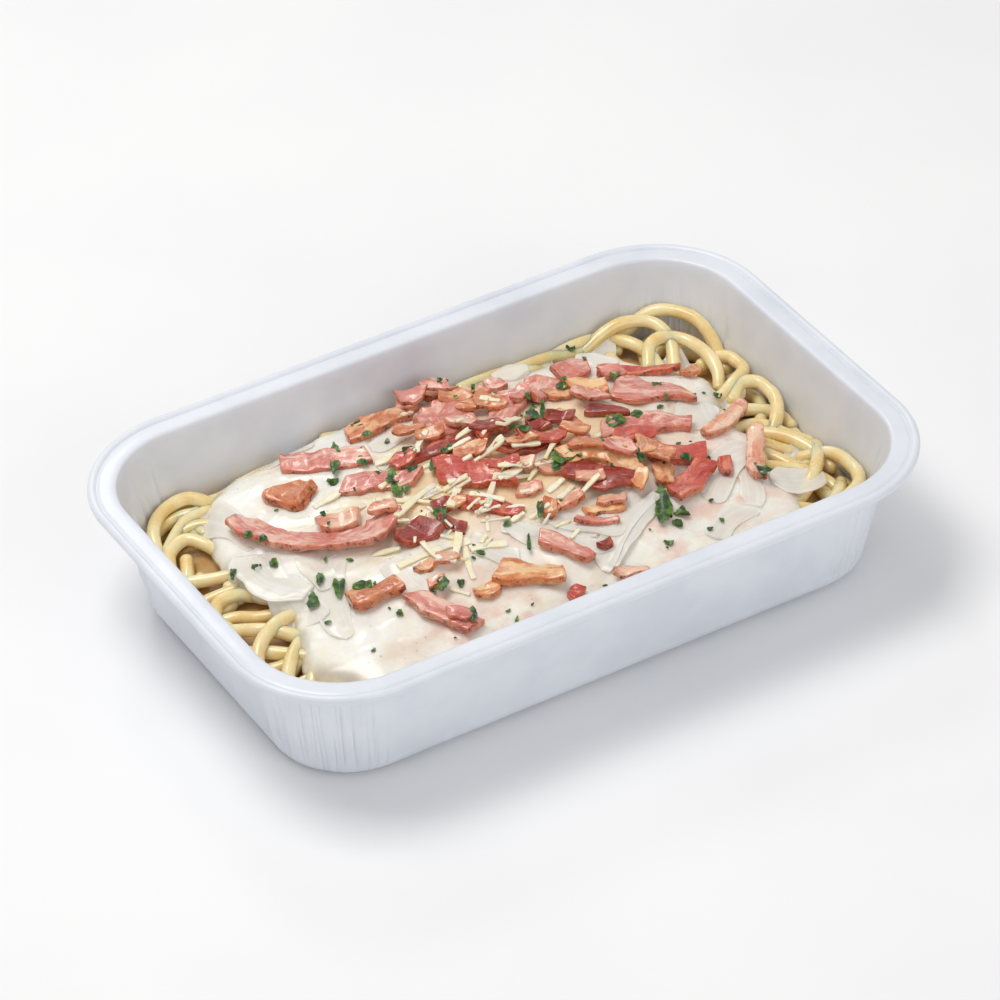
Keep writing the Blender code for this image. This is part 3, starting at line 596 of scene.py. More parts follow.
@dataclass(frozen=True)
class LacqueredFoil:
    """White lacquer on rolled foil: satin, faintly blue, with the foil's rolling lines under it, and low on
    the inside faint sauce smears with a painted warm reflection of the food.
    """

    white: Colour = screen(231, 235, 242)
    shadow: Colour = screen(220, 225, 234)
    reflection_and_smear_tint: Colour = screen(238, 226, 206)
    gloss: Gloss = Gloss(rough=0.30, spread=0.16, patch=4.0, detail=3, depth=0.08, coat=0.15)

    def material(self) -> Material:
        """Build the finish."""
        shade = Shade("lacquered_foil")
        place = shade.place()
        cloud = shade.noise(place, 18, 3, 0.55).rise(0.35, 0.7)
        colour = shade.mixed(cloud, self.white, self.shadow)
        # Painted warm reflection of the food, with faint sauce smears: a warm tint in patches on the inner
        # wall below about 13 to 22 mm
        smear = shade.kept_value("smear") * shade.noise(place, 5, 4, 0.6).rise(0.42, 0.62)
        colour = shade.mixed(smear * 0.55, colour, self.reflection_and_smear_tint)
        rolled = shade.noise(shade.scaled(place, (0.08, 1.0, 1.0)), 0.5, 3, 0.6)
        orange_peel = shade.noise(place, 1.6, 2, 0.5)
        dents = shade.noise(place, 9, 2, 0.5)
        relief = rolled * 0.12 + orange_peel * 0.25 + dents
        return shade.finished(self.gloss, colour, relief, place)


@dataclass(frozen=True)
class CookedNoodle:
    """Moist cooked spaghetti: pale yellow, faintly see-through, with painted shade: a deeper colour where it
    lies low in the heap.
    """

    pale: Colour = screen(247, 228, 178)
    warm: Colour = screen(237, 207, 140)
    deep: Colour = screen(190, 146, 88)
    gloss: Gloss = Gloss(rough=0.16, spread=0.22, patch=2.5, detail=3, depth=0.06, coat=0.6, coat_rough=0.08,
                         glow=0.6, glow_reach=1.9, glow_tint=(1.0, 0.7, 0.32))

    def material(self) -> Material:
        """Build the finish."""
        shade = Shade("cooked_noodle")
        place = shade.place()
        colour = shade.mixed(shade.noise(place, 7, 3, 0.55).rise(0.35, 0.65), self.pale, self.warm)
        # Painted shade: the deep colour darkens noodles by how low they lie under the heap's top, and the
        # whole core
        colour = shade.mixed(shade.kept_value("low") * 0.8, colour, self.deep)
        grain = shade.kept("grain")
        fine = shade.noise(shade.scaled(grain, (0.25, 1.0, 1.0)), 0.5, 3, 0.6)
        relief = fine * 0.4 + shade.noise(place, 1.8, 3, 0.6)
        return shade.finished(self.gloss, colour, relief, place)


@dataclass(frozen=True)
class CreamFinish:
    """Thick cream sauce: glossy off-white, warmer in folds, tinted by what it covers."""

    cream: Colour = screen(254, 249, 238)
    warm: Colour = screen(252, 212, 154)
    blush: Colour = screen(236, 202, 188)
    herb: Colour = screen(176, 178, 140)
    thin: Colour = screen(228, 208, 186)
    film_clear: float = 0.5
    gloss: Gloss = Gloss(rough=0.16, spread=0.25, patch=3.0, detail=3, depth=0.16, coat=0.35, coat_rough=0.1,
                         glow=0.6, glow_reach=1.8, glow_tint=(1.0, 0.85, 0.6))

    def material(self) -> Material:
        """Build the finish."""
        shade = Shade("cream_sauce")
        place = shade.place()
        colour = shade.mixed(shade.kept_value("fold"), self.cream, self.warm)
        colour = shade.mixed(shade.noise(place, 13, 3, 0.5, 0.5).rise(0.44, 0.7) * 0.7, colour, self.thin)
        blush = shade.kept_value("blush") * shade.noise(place, 4.5, 3, 0.5).rise(0.36, 0.66)
        colour = shade.mixed(blush * 0.85, colour, self.blush)
        specks = shade.cells(place, 2.6).rise(0.14, 0.06) * shade.noise(place, 7, 2).rise(0.5, 0.6)
        colour = shade.mixed(specks * 0.6, colour, self.herb)
        relief = shade.noise(place, 1.6, 3, 0.5) * 0.35 + shade.noise(place, 5, 3, 0.5)
        alpha = 1 - shade.kept_value("film") * self.film_clear
        return shade.finished(self.gloss, colour, relief, place, alpha)


class BaconTone(Enum):
    """How a piece of bacon is cooked: its lean, darker fibres, fat, cut edge and its share of fat."""

    PINK = (screen(224, 146, 132), screen(194, 94, 82), screen(248, 208, 186), screen(210, 112, 64), 0.48)
    RED = (screen(204, 82, 68), screen(164, 48, 40), screen(236, 154, 122), screen(210, 100, 50), 0.34)
    DARK = (screen(160, 50, 40), screen(108, 26, 22), screen(206, 110, 78), screen(180, 76, 42), 0.26)
    FAT = (screen(228, 154, 100), screen(204, 110, 64), screen(250, 214, 162), screen(224, 124, 54), 0.62)
    ROAST = (screen(216, 138, 96), screen(184, 88, 54), screen(244, 194, 146), screen(210, 110, 50), 0.50)
    SALMON = (screen(234, 170, 140), screen(210, 122, 94), screen(252, 218, 190), screen(210, 118, 74), 0.56)


@dataclass(frozen=True)
class BaconFinish:
    """Fried bacon: fibres and fat along the strip, orange see-through edges, thin char and specks."""

    tone: BaconTone
    char: Colour = screen(66, 26, 18)
    sear: Colour = screen(142, 46, 26)
    glaze: Colour = screen(244, 224, 204)
    streak_from: float = 0.59
    streak_wide: float = 0.14
    streak_per_fat: float = 0.24
    gloss: Gloss = Gloss(rough=0.06, spread=0.34, patch=1.6, detail=3, depth=0.13, coat=0.6, coat_rough=0.07,
                         glow=0.35, glow_reach=1.0, glow_tint=(1.0, 0.36, 0.2))

    def material(self) -> Material:
        """Build the finish."""
        lean, fibres, fat, edge, fat_share = self.tone.value
        shade = Shade(f"bacon_{self.tone.name.lower()}")
        place = shade.place()
        grain = shade.kept("grain")
        fibre = shade.noise(shade.scaled(grain, (0.22, 1.0, 1.0)), 0.6, 4, 0.6, 0.3)
        cloud = shade.noise(place, 4.2, 4, 0.6, 0.4)
        colour = shade.mixed((fibre * 0.28 + cloud * 0.72).rise(0.40, 0.66) * 0.85, lean, fibres)
        marble = shade.noise(shade.scaled(grain, (0.32, 0.7, 0.4)), 2.4, 4, 0.62, 0.8)
        level = self.streak_from - self.streak_per_fat * fat_share
        streak = marble.rise(level, level + self.streak_wide)
        vein = shade.noise(shade.scaled(grain, (0.3, 0.9, 0.5)), 1.8, 3, 0.5, 1.0)
        thin = shade.sum("ABSOLUTE", vein - 0.5, 0.0).rise(0.022, 0.006)
        colour = shade.mixed(streak * 0.75 + thin * 0.35, colour, fat)
        glazed = shade.noise(place, 3.8, 4, 0.6).rise(0.52, 0.72)
        colour = shade.mixed(glazed * (0.55 * fat_share), colour, self.glaze)
        rim = shade.kept_value("rim")
        cooked = (rim * 0.8 + shade.noise(place, 2.6, 3, 0.5) - 0.5).rise(0.3, 0.9)
        colour = shade.mixed(cooked * 0.6, colour, edge)
        sear = (rim + shade.noise(place, 1.8, 4, 0.65) * 0.9).rise(1.40, 1.60)
        colour = shade.mixed(sear * 0.55, colour, self.sear)
        burnt = (rim * 0.5 + shade.noise(place, 1.5, 4, 0.7)).rise(1.03, 1.15)
        specks = shade.cells(place, 1.7).rise(0.10, 0.05) * shade.noise(place, 5, 2).rise(0.52, 0.62)
        colour = shade.mixed(burnt * 0.85 + specks * 0.5, colour, self.char)
        relief = shade.noise(place, 0.9, 4, 0.6, 0.5) * 0.8 + fibre * 0.3
        return shade.finished(self.gloss, colour, relief, place)


@dataclass(frozen=True)
class OnionFinish:
    """Sweated onion: see-through white with faint veins along it and cloudier rims."""

    flesh: Colour = screen(255, 251, 240)
    vein: Colour = screen(255, 254, 248)
    solid: float = 0.56
    gloss: Gloss = Gloss(rough=0.14, spread=0.15, patch=2.0, detail=2, depth=0.06, coat=0.3, coat_rough=0.12)

    def material(self) -> Material:
        """Build the finish."""
        shade = Shade("sweated_onion")
        grain = shade.kept("grain")
        veins = shade.noise(shade.scaled(grain, (0.06, 1.0, 0.0)), 1.3, 2, 0.4, 0.3).rise(0.46, 0.66)
        colour = shade.mixed(veins, self.flesh, self.vein)
        alpha = veins * 0.05 + shade.kept_value("rim") * 0.06 + self.solid
        relief = veins * 0.02 + shade.noise(grain, 4.0, 2) * 0.5
        return shade.finished(self.gloss, colour, relief, grain, alpha)


@dataclass(frozen=True)
class CheeseFinish:
    """Grated hard cheese: pale yellow sticks with a dry grain."""

    pale: Colour = screen(254, 245, 222)
    deep: Colour = screen(250, 233, 190)
    gloss: Gloss = Gloss(rough=0.32, spread=0.2, patch=1.2, detail=2, depth=0.06,
                         glow=0.5, glow_reach=0.8, glow_tint=(1.0, 0.85, 0.55))

    def material(self) -> Material:
        """Build the finish."""
        shade = Shade("grated_cheese")
        place = shade.place()
        colour = shade.mixed(shade.noise(place, 2.4, 3, 0.6).rise(0.35, 0.65), self.pale, self.deep)
        return shade.finished(self.gloss, colour, shade.noise(place, 0.5, 4, 0.65), place)


@dataclass(frozen=True)
class ParsleyFinish:
    """Chopped parsley: dark green with brighter patches, a little brighter towards the rims."""

    dark: Colour = screen(34, 66, 28)
    bright: Colour = screen(98, 138, 52)
    gloss: Gloss = Gloss(rough=0.26, spread=0.2, patch=0.8, detail=2, depth=0.10, coat=0.2)

    def material(self) -> Material:
        """Build the finish."""
        shade = Shade("chopped_parsley")
        place = shade.place()
        tone = shade.noise(place, 2.2, 4, 0.65)
        colour = shade.mixed((tone + shade.kept_value("rim") * 0.10).rise(0.46, 0.72), self.dark, self.bright)
        return shade.finished(self.gloss, colour, shade.noise(place, 0.5, 3, 0.6), place)


@dataclass(frozen=True)
class PaleFloor:
    """A matt white table top."""

    white: Colour = (0.95, 0.95, 0.955)
    shadow: Colour = (0.92, 0.92, 0.93)
    gloss: Gloss = Gloss(rough=0.75, spread=0.0, patch=3.0, detail=3, depth=0.03)

    def material(self) -> Material:
        """Build the finish."""
        shade = Shade("pale_floor")
        place = shade.place()
        colour = shade.mixed(shade.noise(place, 90, 3).rise(0.3, 0.7), self.white, self.shadow)
        return shade.finished(self.gloss, colour, shade.noise(place, 3, 3), place)


def register(piece: Item, slot: str, *nodes: str) -> Item:
    """Let a piece ride on the body, hiding and logging the CAD nodes that it stands for.

    Args:
        piece: the finished object.
        slot: the record's material slot, not used.
        *nodes: names of the CAD nodes that it replaces.

    Returns:
        The piece.
    """
    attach(piece, BODY)
    if nodes:
        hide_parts(*nodes)
    stands_for = ", ".join(nodes) or "itself"
    log.info("%s: %d faces, stands for %s", piece.name, len(piece.data.polygons), stands_for)
    return piece


@dataclass
class PressedTray:
    """The foil tray: rounded foot, sloping wall creased at the corners, flat flange and rolled bead."""

    foot_half: Span = (71.0, 42.8)
    foot_corner: float = 17.7
    opening_half: Span = (75.0, 48.2)
    opening_corner: float = 20.0
    rim_height: float = 31.0
    foot_height: float = 1.35
    wall: float = 0.5
    foot_bend: float = 5.0
    flange: float = 4.2
    bead_radius: float = 1.05
    bead_out: float = 5.25
    bead_height: float = 30.25
    corner_steps: int = 150
    long_steps: int = 24
    short_steps: int = 14
    crease_count: int = 24
    crease_depth: float = 0.62
    crease_width: float = 0.34
    crease_high: Span = (12.0, 28.5)
    crease_low: Span = (0.5, 6.0)
    crease_lean_most: float = 0.035
    ridge_share: float = 0.2
    sharp_from: float = 50
    base_shares: tuple[float, ...] = (0.25, 0.5, 0.75, 0.93)
    neck: tuple[Span, ...] = ((0.35, -0.35), (1.0, 0.0))
    bead_turn: tuple[float, float, int] = (195, 505, 18)
    bead_join: tuple[Span, ...] = ((0.12, -0.30), (-0.08, -0.28), (-0.35, -0.05), (-0.7, 0.0))
    lip: tuple[Span, ...] = ((1.1, 0.0), (0.55, -0.04), (0.15, -0.28), (0.0, -0.7))
    swell: float = 0.16
    seed: int = 11

    def __post_init__(self) -> None:
        """Draw where the creases of each corner lie, how deep they are and how high they reach."""
        draw = np.random.default_rng(self.seed)
        shape = (4, self.crease_count)
        spread = (np.arange(self.crease_count) + 0.5) / self.crease_count
        self.crease_at = spread + draw.uniform(-0.4, 0.4, shape) / self.crease_count
        strength = draw.uniform(0.35, 1.0, shape)
        self.crease_strength = strength * np.where(draw.random(shape) < self.ridge_share, -0.6, 1.0)
        self.crease_from = draw.uniform(*self.crease_low, shape)
        self.crease_to = draw.uniform(*self.crease_high, shape)
        self.crease_lean = draw.uniform(-self.crease_lean_most, self.crease_lean_most, shape)
        self.shares = self.outline()

    def wall_size(self, height: Array | float, inward: Array | float = 0.0) -> tuple:
        """Half sizes and corner radius of the wall at a height, moved inwards from its outer face."""
        share = (height - self.foot_height) / (self.rim_height - self.foot_height)
        lows, highs = (*self.foot_half, self.foot_corner), (*self.opening_half, self.opening_corner)
        return tuple(low + (high + self.wall - low) * share - inward for low, high in zip(lows, highs))

    def outline(self) -> tuple[Array, Array, Array, Array]:
        """The rounded rectangle's points, anticlockwise, as shares that any size can use.

        Returns:
            The sign of each point's corner centre, its plan direction, its share
            along a straight side, and its share round a corner, NaN on the sides.
        """
        signs, directions, sides, rounds = [], [], [], []
        corners = ((1, 1, self.long_steps), (-1, 1, self.short_steps),
                   (-1, -1, self.long_steps), (1, -1, self.short_steps))
        for quarter, (side_x, side_y, steps) in enumerate(corners):
            share = np.linspace(0, 1, self.corner_steps + 1)
            angle = math.pi / 2 * (quarter + share)
            arc = np.stack((np.cos(angle), np.sin(angle)), 1)
            signs.append(np.tile((side_x, side_y), (len(arc), 1)))
            directions.append(arc)
            sides.append(np.zeros(len(arc)))
            rounds.append(quarter + share * 0.9999)
            between = np.arange(1, steps) / steps
            signs.append(np.tile((side_x, side_y), (len(between), 1)))
            directions.append(np.tile(arc[-1], (len(between), 1)))
            sides.append(between)
            rounds.append(np.full(len(between), np.nan))
        return tuple(np.concatenate(part) for part in (signs, directions, sides, rounds))

    def ring(self, sizes: tuple, height: float, creased: float = 1.0) -> Array:
        """One ring of the tray.

        A point is its corner's centre, plus the radius along its direction; a point
        on a side is moved along that side by its share. A crease takes a sharp bite
        out of the corner: depth times e to the minus distance over width.

        Args:
            sizes: half sizes and corner radius.
            height: level of the ring.
            creased: how strongly the creases show.

        Returns:
            The ring's points.
        """
        half_x, half_y, radius = sizes
        signs, directions, sides, rounds = self.shares
        centre = signs * (half_x - radius, half_y - radius)
        run = 2 * np.where(np.abs(directions[:, :1]) < 0.5, half_x - radius, half_y - radius)
        tangent = np.stack((-directions[:, 1], directions[:, 0]), 1)
        depth = np.zeros(len(sides))
        if creased > 0:
            corner = np.nan_to_num(np.floor(rounds), nan=0).astype(int)
            round_share = np.nan_to_num(rounds - np.floor(rounds), nan=-5.0)
            lean = self.crease_lean[corner] * (height / self.rim_height)
            gap = np.abs(round_share[:, None] - self.crease_at[corner] - lean) * radius * math.pi / 2
            reach = smoothstep(height, self.crease_from - 2.5, self.crease_from + 1.5)
            reach = reach * (1 - smoothstep(height, self.crease_to - 6, self.crease_to + 2))
            bite = (self.crease_strength * reach)[corner] * np.exp(-gap / self.crease_width)
            depth = creased * self.crease_depth * np.minimum(bite.sum(1), 1.0)
            sway = np.sin(round_share * 23 + corner * 2) * np.sin(height * 0.21 + corner)
            bulge = 0.10 * creased * sway * np.sin(np.clip(round_share, 0, 1) * np.pi)
            depth += np.where(round_share >= 0, bulge, 0)
        plan = centre + directions * (radius - depth)[:, None] + tangent * (sides * run[:, 0])[:, None]
        return np.column_stack((plan, np.full(len(plan), height)))

    def rim(self, outward: float, height: float) -> Array:
        """A ring a distance outside the opening."""
        sizes = tuple(size + outward for size in (*self.opening_half, self.opening_corner))
        return self.ring(sizes, height, creased=0)

    def foot(self, inset: float, steps: int = 9, creased: float = 1.0) -> list[Array]:
        """Rings of the rounded foot, from the flat base up, for a skin set in by inset."""
        radius = self.foot_bend - inset
        rings = []
        for angle in np.linspace(0, math.pi / 2, steps):
            height = inset + radius * (1 - math.cos(angle))
            sizes = self.wall_size(self.foot_bend, inset + radius * (1 - math.sin(angle)))
            rings.append(self.ring(sizes, height, creased=creased * math.sin(angle) ** 2))
        return rings

    def walls(self, inward: float, high: float, steps: int = 15) -> list[Array]:
        """Rings of the sloping wall from just above the foot up to a height."""
        heights = np.linspace(self.foot_bend + 1.2, high, steps)
        return [self.ring(self.wall_size(height, inward), height) for height in heights]

    def surface(self) -> Surface:
        """The whole tray as one closed skin, from the base's underside round the rim to its inside."""
        top, under = self.rim_height, self.rim_height - self.wall
        base = self.foot(0.0)
        rings = [base[0] * (share, share, 1) for share in self.base_shares]
        rings += base + self.walls(0.0, under - 1.6)
        rings += [self.rim(self.wall + out, under + up) for out, up in self.neck]
        rings.append(self.rim(self.flange - 0.4, under))
        for angle in np.radians(np.linspace(*self.bead_turn)):
            rings.append(self.rim(self.bead_out + self.bead_radius * math.cos(angle),
                                  self.bead_height + self.bead_radius * math.sin(angle)))
        rings += [self.rim(self.flange + out, top + up) for out, up in self.bead_join]
        rings += [self.rim(out, top + up) for out, up in self.lip]
        rings += self.walls(self.wall, top - 1.6)[::-1]
        inside = self.foot(self.wall)[::-1]
        rings += inside + [inside[-1] * (share, share, 1) for share in self.base_shares[::-1]]
        rings = np.array(rings)
        made = skin(rings)
        lumps = Lumps(self.seed)
        normal = made.normals()
        low = made.points[:, 2] < self.rim_height - 2
        swell = lumps.at(made.points * (1, 1, 1.6), 22, 2) * self.swell
        edge = smoothstep(made.points[:, 2], 0.4, 6) * (1 - smoothstep(made.points[:, 2], 22, 30))
        made.points = made.points + normal * (swell * edge * low)[:, None] * (1, 1, 0)
        # Where the foil takes faint sauce smears and the painted warm reflection of the food: the inside,
        # below about 13 to 22 mm
        level = np.zeros((len(rings), rings.shape[1]))
        level[len(rings) // 2:] = 1
        made.values["smear"] = with_poles(level) * smoothstep(-made.points[:, 2], -22, -13)
        return made.facing_out()

    def inside(self, plan: Array, height: Array, margin: float) -> Array:
        """Plan points moved in from the wall where they would come near it.

        The distance to a rounded rectangle is that to its inner box's corner or
        side, less the corner radius; a point past it moves back straight.

        Args:
            plan: places in plan.
            height: height of each.
            margin: gap kept to the wall's inner face.

        Returns:
            The moved places.
        """
        half_x, half_y, radius = self.wall_size(height, self.wall + margin)
        over = np.abs(plan) - np.stack((half_x - radius, half_y - radius), -1)
        corner = np.linalg.norm(np.maximum(over, 0), axis=-1)
        past = corner + np.minimum(over.max(-1), 0) - radius
        away = np.where((over > 0).all(-1)[..., None], over / np.maximum(corner, 1e-9)[..., None],
                        np.stack((over[..., 0] > over[..., 1], over[..., 0] <= over[..., 1]), -1))
        return plan - np.sign(plan) * away * np.maximum(past, 0)[..., None]

    def holding(self, made: Surface, margin: float = 0.4) -> Surface:
        """A surface whose points past the wall are moved back in, a margin clear of it."""
        made.points[:, :2] = self.inside(made.points[:, :2], made.points[:, 2], margin)
        return made

    def serve(self, parts: list[Surface], name: str, material: Material, slot: str, *nodes: str) -> Item:
        """Make one piece of food inside the tray.

        Args:
            parts: its surfaces.
            name: the piece's name.
            material: its finish.
            slot: the record's material slot.
            *nodes: names of the CAD nodes that it replaces.

        Returns:
            The piece.
        """
        made = self.holding(Surface.joined(parts))
        return register(made.piece(name, material, SHARP_FROM), slot, *nodes)

    def build(self) -> Item:
        """Make the tray."""
        piece = self.surface().piece("pressed_tray", LacqueredFoil().material(), self.sharp_from)
        return register(piece, "foil", "tray")


def sauce_edge(tray: PressedTray) -> Array:
    """The sauce's edge in plan, clear of the tray's wall."""
    loop = even_steps(spline(np.array(SAUCE_EDGE), closed=True), SAUCE_EDGE_POINTS, closed=True)
    return tray.inside(loop, np.full(SAUCE_EDGE_POINTS, EDGE_LEVEL), SAUCE_FROM_WALL)


def outside_by(outline: Array, plan: Array) -> Array:
    """Distance of plan points from a closed outline, positive outside it.

    Args:
        outline: the outline's points.
        plan: the places asked for.

    Returns:
        The distance to the nearest edge, its sign told by how often a ray crosses the outline.
    """
    edge = np.roll(outline, -1, 0) - outline
    from_start = plan[:, None] - outline[None]
    share = np.clip((from_start * edge).sum(-1) / (edge ** 2).sum(-1), 0, 1)
    near = np.linalg.norm(from_start - edge * share[..., None], axis=-1).min(1)
    crosses = (outline[:, 1] > plan[:, 1:]) != (np.roll(outline, -1, 0)[:, 1] > plan[:, 1:])
    rise = np.where(edge[:, 1] == 0, np.inf, edge[:, 1])
    left = plan[:, :1] < outline[:, 0] + from_start[..., 1] * edge[:, 0] / rise
    return np.where((crosses & left).sum(1) % 2 == 1, -near, near)


def smoothed_along(values: Array, reach: float) -> Array:
    """Values along a path blurred by a bell curve, its reach counted in steps."""
    half = max(1, int(3 * reach))
    weights = np.exp(-0.5 * (np.arange(-half, half + 1) / reach) ** 2)
    return np.convolve(np.pad(values, half, mode="edge"), weights / weights.sum(), mode="valid")


@dataclass
class NoodleHeap:
    """Spaghetti: a packed core, loose strands over it and the long strands that show past the sauce."""

    tray: PressedTray
    edge: Array
    radius: float = 1.5
    step: float = 0.8
    sides: int = 14
    end_angles: Triple = (15, 45, 70)
    core_drop: float = 1.9
    core_inset: float = 1.1
    core_shares: tuple[float, ...] = (1.0, 0.985, 0.96, 0.93, 0.89, 0.84, 0.78, 0.7, 0.6, 0.45, 0.3, 0.15)
    layers: tuple[float, ...] = (0.8, 2.3, 3.5, 4.6, 6.4, 8.4)
    easy_climb: float = 3.5
    filler_count: int = 40
    filler_x: Span = (52, 70)
    filler_y: Span = (-38, 38)
    filler_bow: Span = (10, 20)
    filler_sweep: Span = (1.2, 3.0)
    back_row: tuple[float, float, int] = (-44, 44, 9)
    back_y: float = 42.0
    back_half: float = 9
    seed: int = 5

    def core(self) -> Surface:
        """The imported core: the tray's inside up to the dome, less a drop, dimpled all over."""
        tray = self.tray
        inset = tray.wall + self.core_inset
        rings = tray.foot(inset, 5, creased=0.0)
        sizes = tray.wall_size(EDGE_LEVEL - 1.0, inset)
        rim = tray.ring(sizes, EDGE_LEVEL, creased=0)
        for share in self.core_shares:
            ring = rim * (share, share, 1)
            ring[:, 2] = core_top(ring[:, 0], ring[:, 1]) - self.core_drop
            rings.append(ring)
        flat = [rings[0] * (share, share, 1) for share in (0.3, 0.7)]
        made = skin(np.array(flat + rings)[:, ::3]).facing_out()
        lumps = Lumps(self.seed)
        high = smoothstep(made.points[:, 2], 7, 9)
        made.points[:, 2] += lumps.at(made.points, 4.0) * 0.5 * high
        # Painted shade: the whole core counts as lying low, so it takes the noodles' deep, shaded colour
        made.values["low"] = np.ones(len(made.points))
        made.values["grain"] = made.points.copy()
        return made

    def strand(self, path: Array, seed: float) -> Surface:
        """One noodle: a circle carried along a path, drawn in by a quarter round at each end.

        Args:
            path: places along its middle.
            seed: a number of its own for the fine grain.

        Returns:
            The noodle's skin.
        """
        tangent = unit(np.gradient(path, axis=0))
        angles = np.radians(self.end_angles)
        swell = np.concatenate((np.cos(angles[::-1]), np.ones(len(path)), np.cos(angles)))
        out = np.sin(angles) * self.radius * 0.8
        middle = np.concatenate((path[0] - tangent[0] * out[::-1, None], path,
                                 path[-1] + tangent[-1] * out[:, None]))
        tangent = held_ends(tangent, len(angles))
        across = unit(np.cross(tangent, UP))
        over = np.cross(across, tangent)
        turn = np.linspace(0, 2 * np.pi, self.sides, endpoint=False)
        run = np.linspace(0, self.step * len(middle), len(middle))
        waves = 0.035 * np.sin(run / 3.1 + seed) + 0.02 * np.sin(run / 1.3 + 2 * seed)
        plump = swell * self.radius * (1 + waves)
        out_along, up_along = np.cos(turn)[None, :, None], np.sin(turn)[None, :, None]
        section = across[:, None] * out_along + over[:, None] * up_along
        made = skin(middle[:, None] + plump[:, None, None] * section)
        made.values["grain"] = with_poles(stacked(run[:, None] + 40 * seed, turn[None] * self.radius, seed))
        # Painted shade: how far the strand lies under the heap's top, which deepens its colour
        low = core_top(made.points[:, 0], made.points[:, 1]) + 0.9 - made.points[:, 2]
        made.values["low"] = smoothstep(low, 0.0, 3.4)
        return made.facing_out()

    def filler_routes(self) -> list[Array]:
        """Arcs and hooks of loose noodle at the two ends and along the back, by seeded draws."""
        draw = np.random.default_rng(self.seed)
        routes = []
        for number in range(self.filler_count):
            side = -1 if number % 2 else 1
            centre = np.array((side * draw.uniform(*self.filler_x), draw.uniform(*self.filler_y)))
            bow = draw.uniform(*self.filler_bow)
            start = draw.uniform(0, 2 * np.pi)
            sweep = draw.uniform(*self.filler_sweep)
            angle = np.linspace(start, start + sweep, 9)
            stretch = (draw.uniform(0.7, 1.0), draw.uniform(1.0, 1.7))
            routes.append(centre + bow * np.stack((np.cos(angle), np.sin(angle)), 1) * stretch)
        for x in np.linspace(*self.back_row):
            angle = draw.uniform(-0.25, 0.25)
            share = np.linspace(-1, 1, 5)[:, None]
            way = np.array((math.cos(angle), math.sin(angle)))
            routes.append(np.array((x, self.back_y)) + share * self.back_half * way)
        return routes

    def level(self, plan: Array, wanted: float) -> Array:
        """Height of a strand's middle: its layer well outside the sauce, just above the core below it."""
        clear = outside_by(self.edge, plan)
        under = min(wanted, 0.0)
        steepness = max(1.0, wanted / self.easy_climb)
        share = smoothstep(clear, -1.5, 4.2 * steepness)
        ends = np.minimum(np.arange(len(plan)), np.arange(len(plan))[::-1]) * self.step
        share = np.minimum(share, smoothstep(ends, -0.6, 5.5 * steepness))
        return core_top(plan[:, 0], plan[:, 1]) + under + (wanted - under) * share

    def surfaces(self) -> tuple[list[Surface], PlanMap]:
        """Lay every strand on those below it.

        Returns:
            The strands, and a map of their tops.
        """
        draw = np.random.default_rng(self.seed + 1)
        tops = PlanMap(core_top(*PlanMap.places()) - self.core_drop)
        jobs = [(draw.uniform(-0.9, 0.5), route, 0.8) for route in self.filler_routes()]
        jobs += [(self.layers[layer - 1], np.array(route, float), 0.4) for layer, *route in STRANDS]
        strands = []
        for number, (wanted, route, slack) in enumerate(jobs):
            curve = spline(route)
            length = np.linalg.norm(np.diff(curve, axis=0), axis=1).sum()
            plan = even_steps(curve, max(8, round(length / self.step)), closed=False)
            level = self.level(plan, wanted)
            carried = tops.at(plan[:, 0], plan[:, 1]) + self.radius * 0.7
            level = np.clip(carried, level - slack * 0.5, level + slack * 1.6)
            level = smoothed_along(level, 3.2)
            plan = self.tray.inside(plan, level - self.radius * 0.5, self.radius + 0.3)
            made = self.strand(np.column_stack((plan, level)), number * 0.37)
            tops.raise_to(made.points)
            strands.append(made)
        return strands, tops

    def build(self) -> PlanMap:
        """Make the heap as one piece, and give the map of its tops."""
        strands, tops = self.surfaces()
        made = Surface.joined([self.core()] + strands)
        register(made.piece("noodle_heap", CookedNoodle().material()), "noodle", "spaghetti")
        return tops


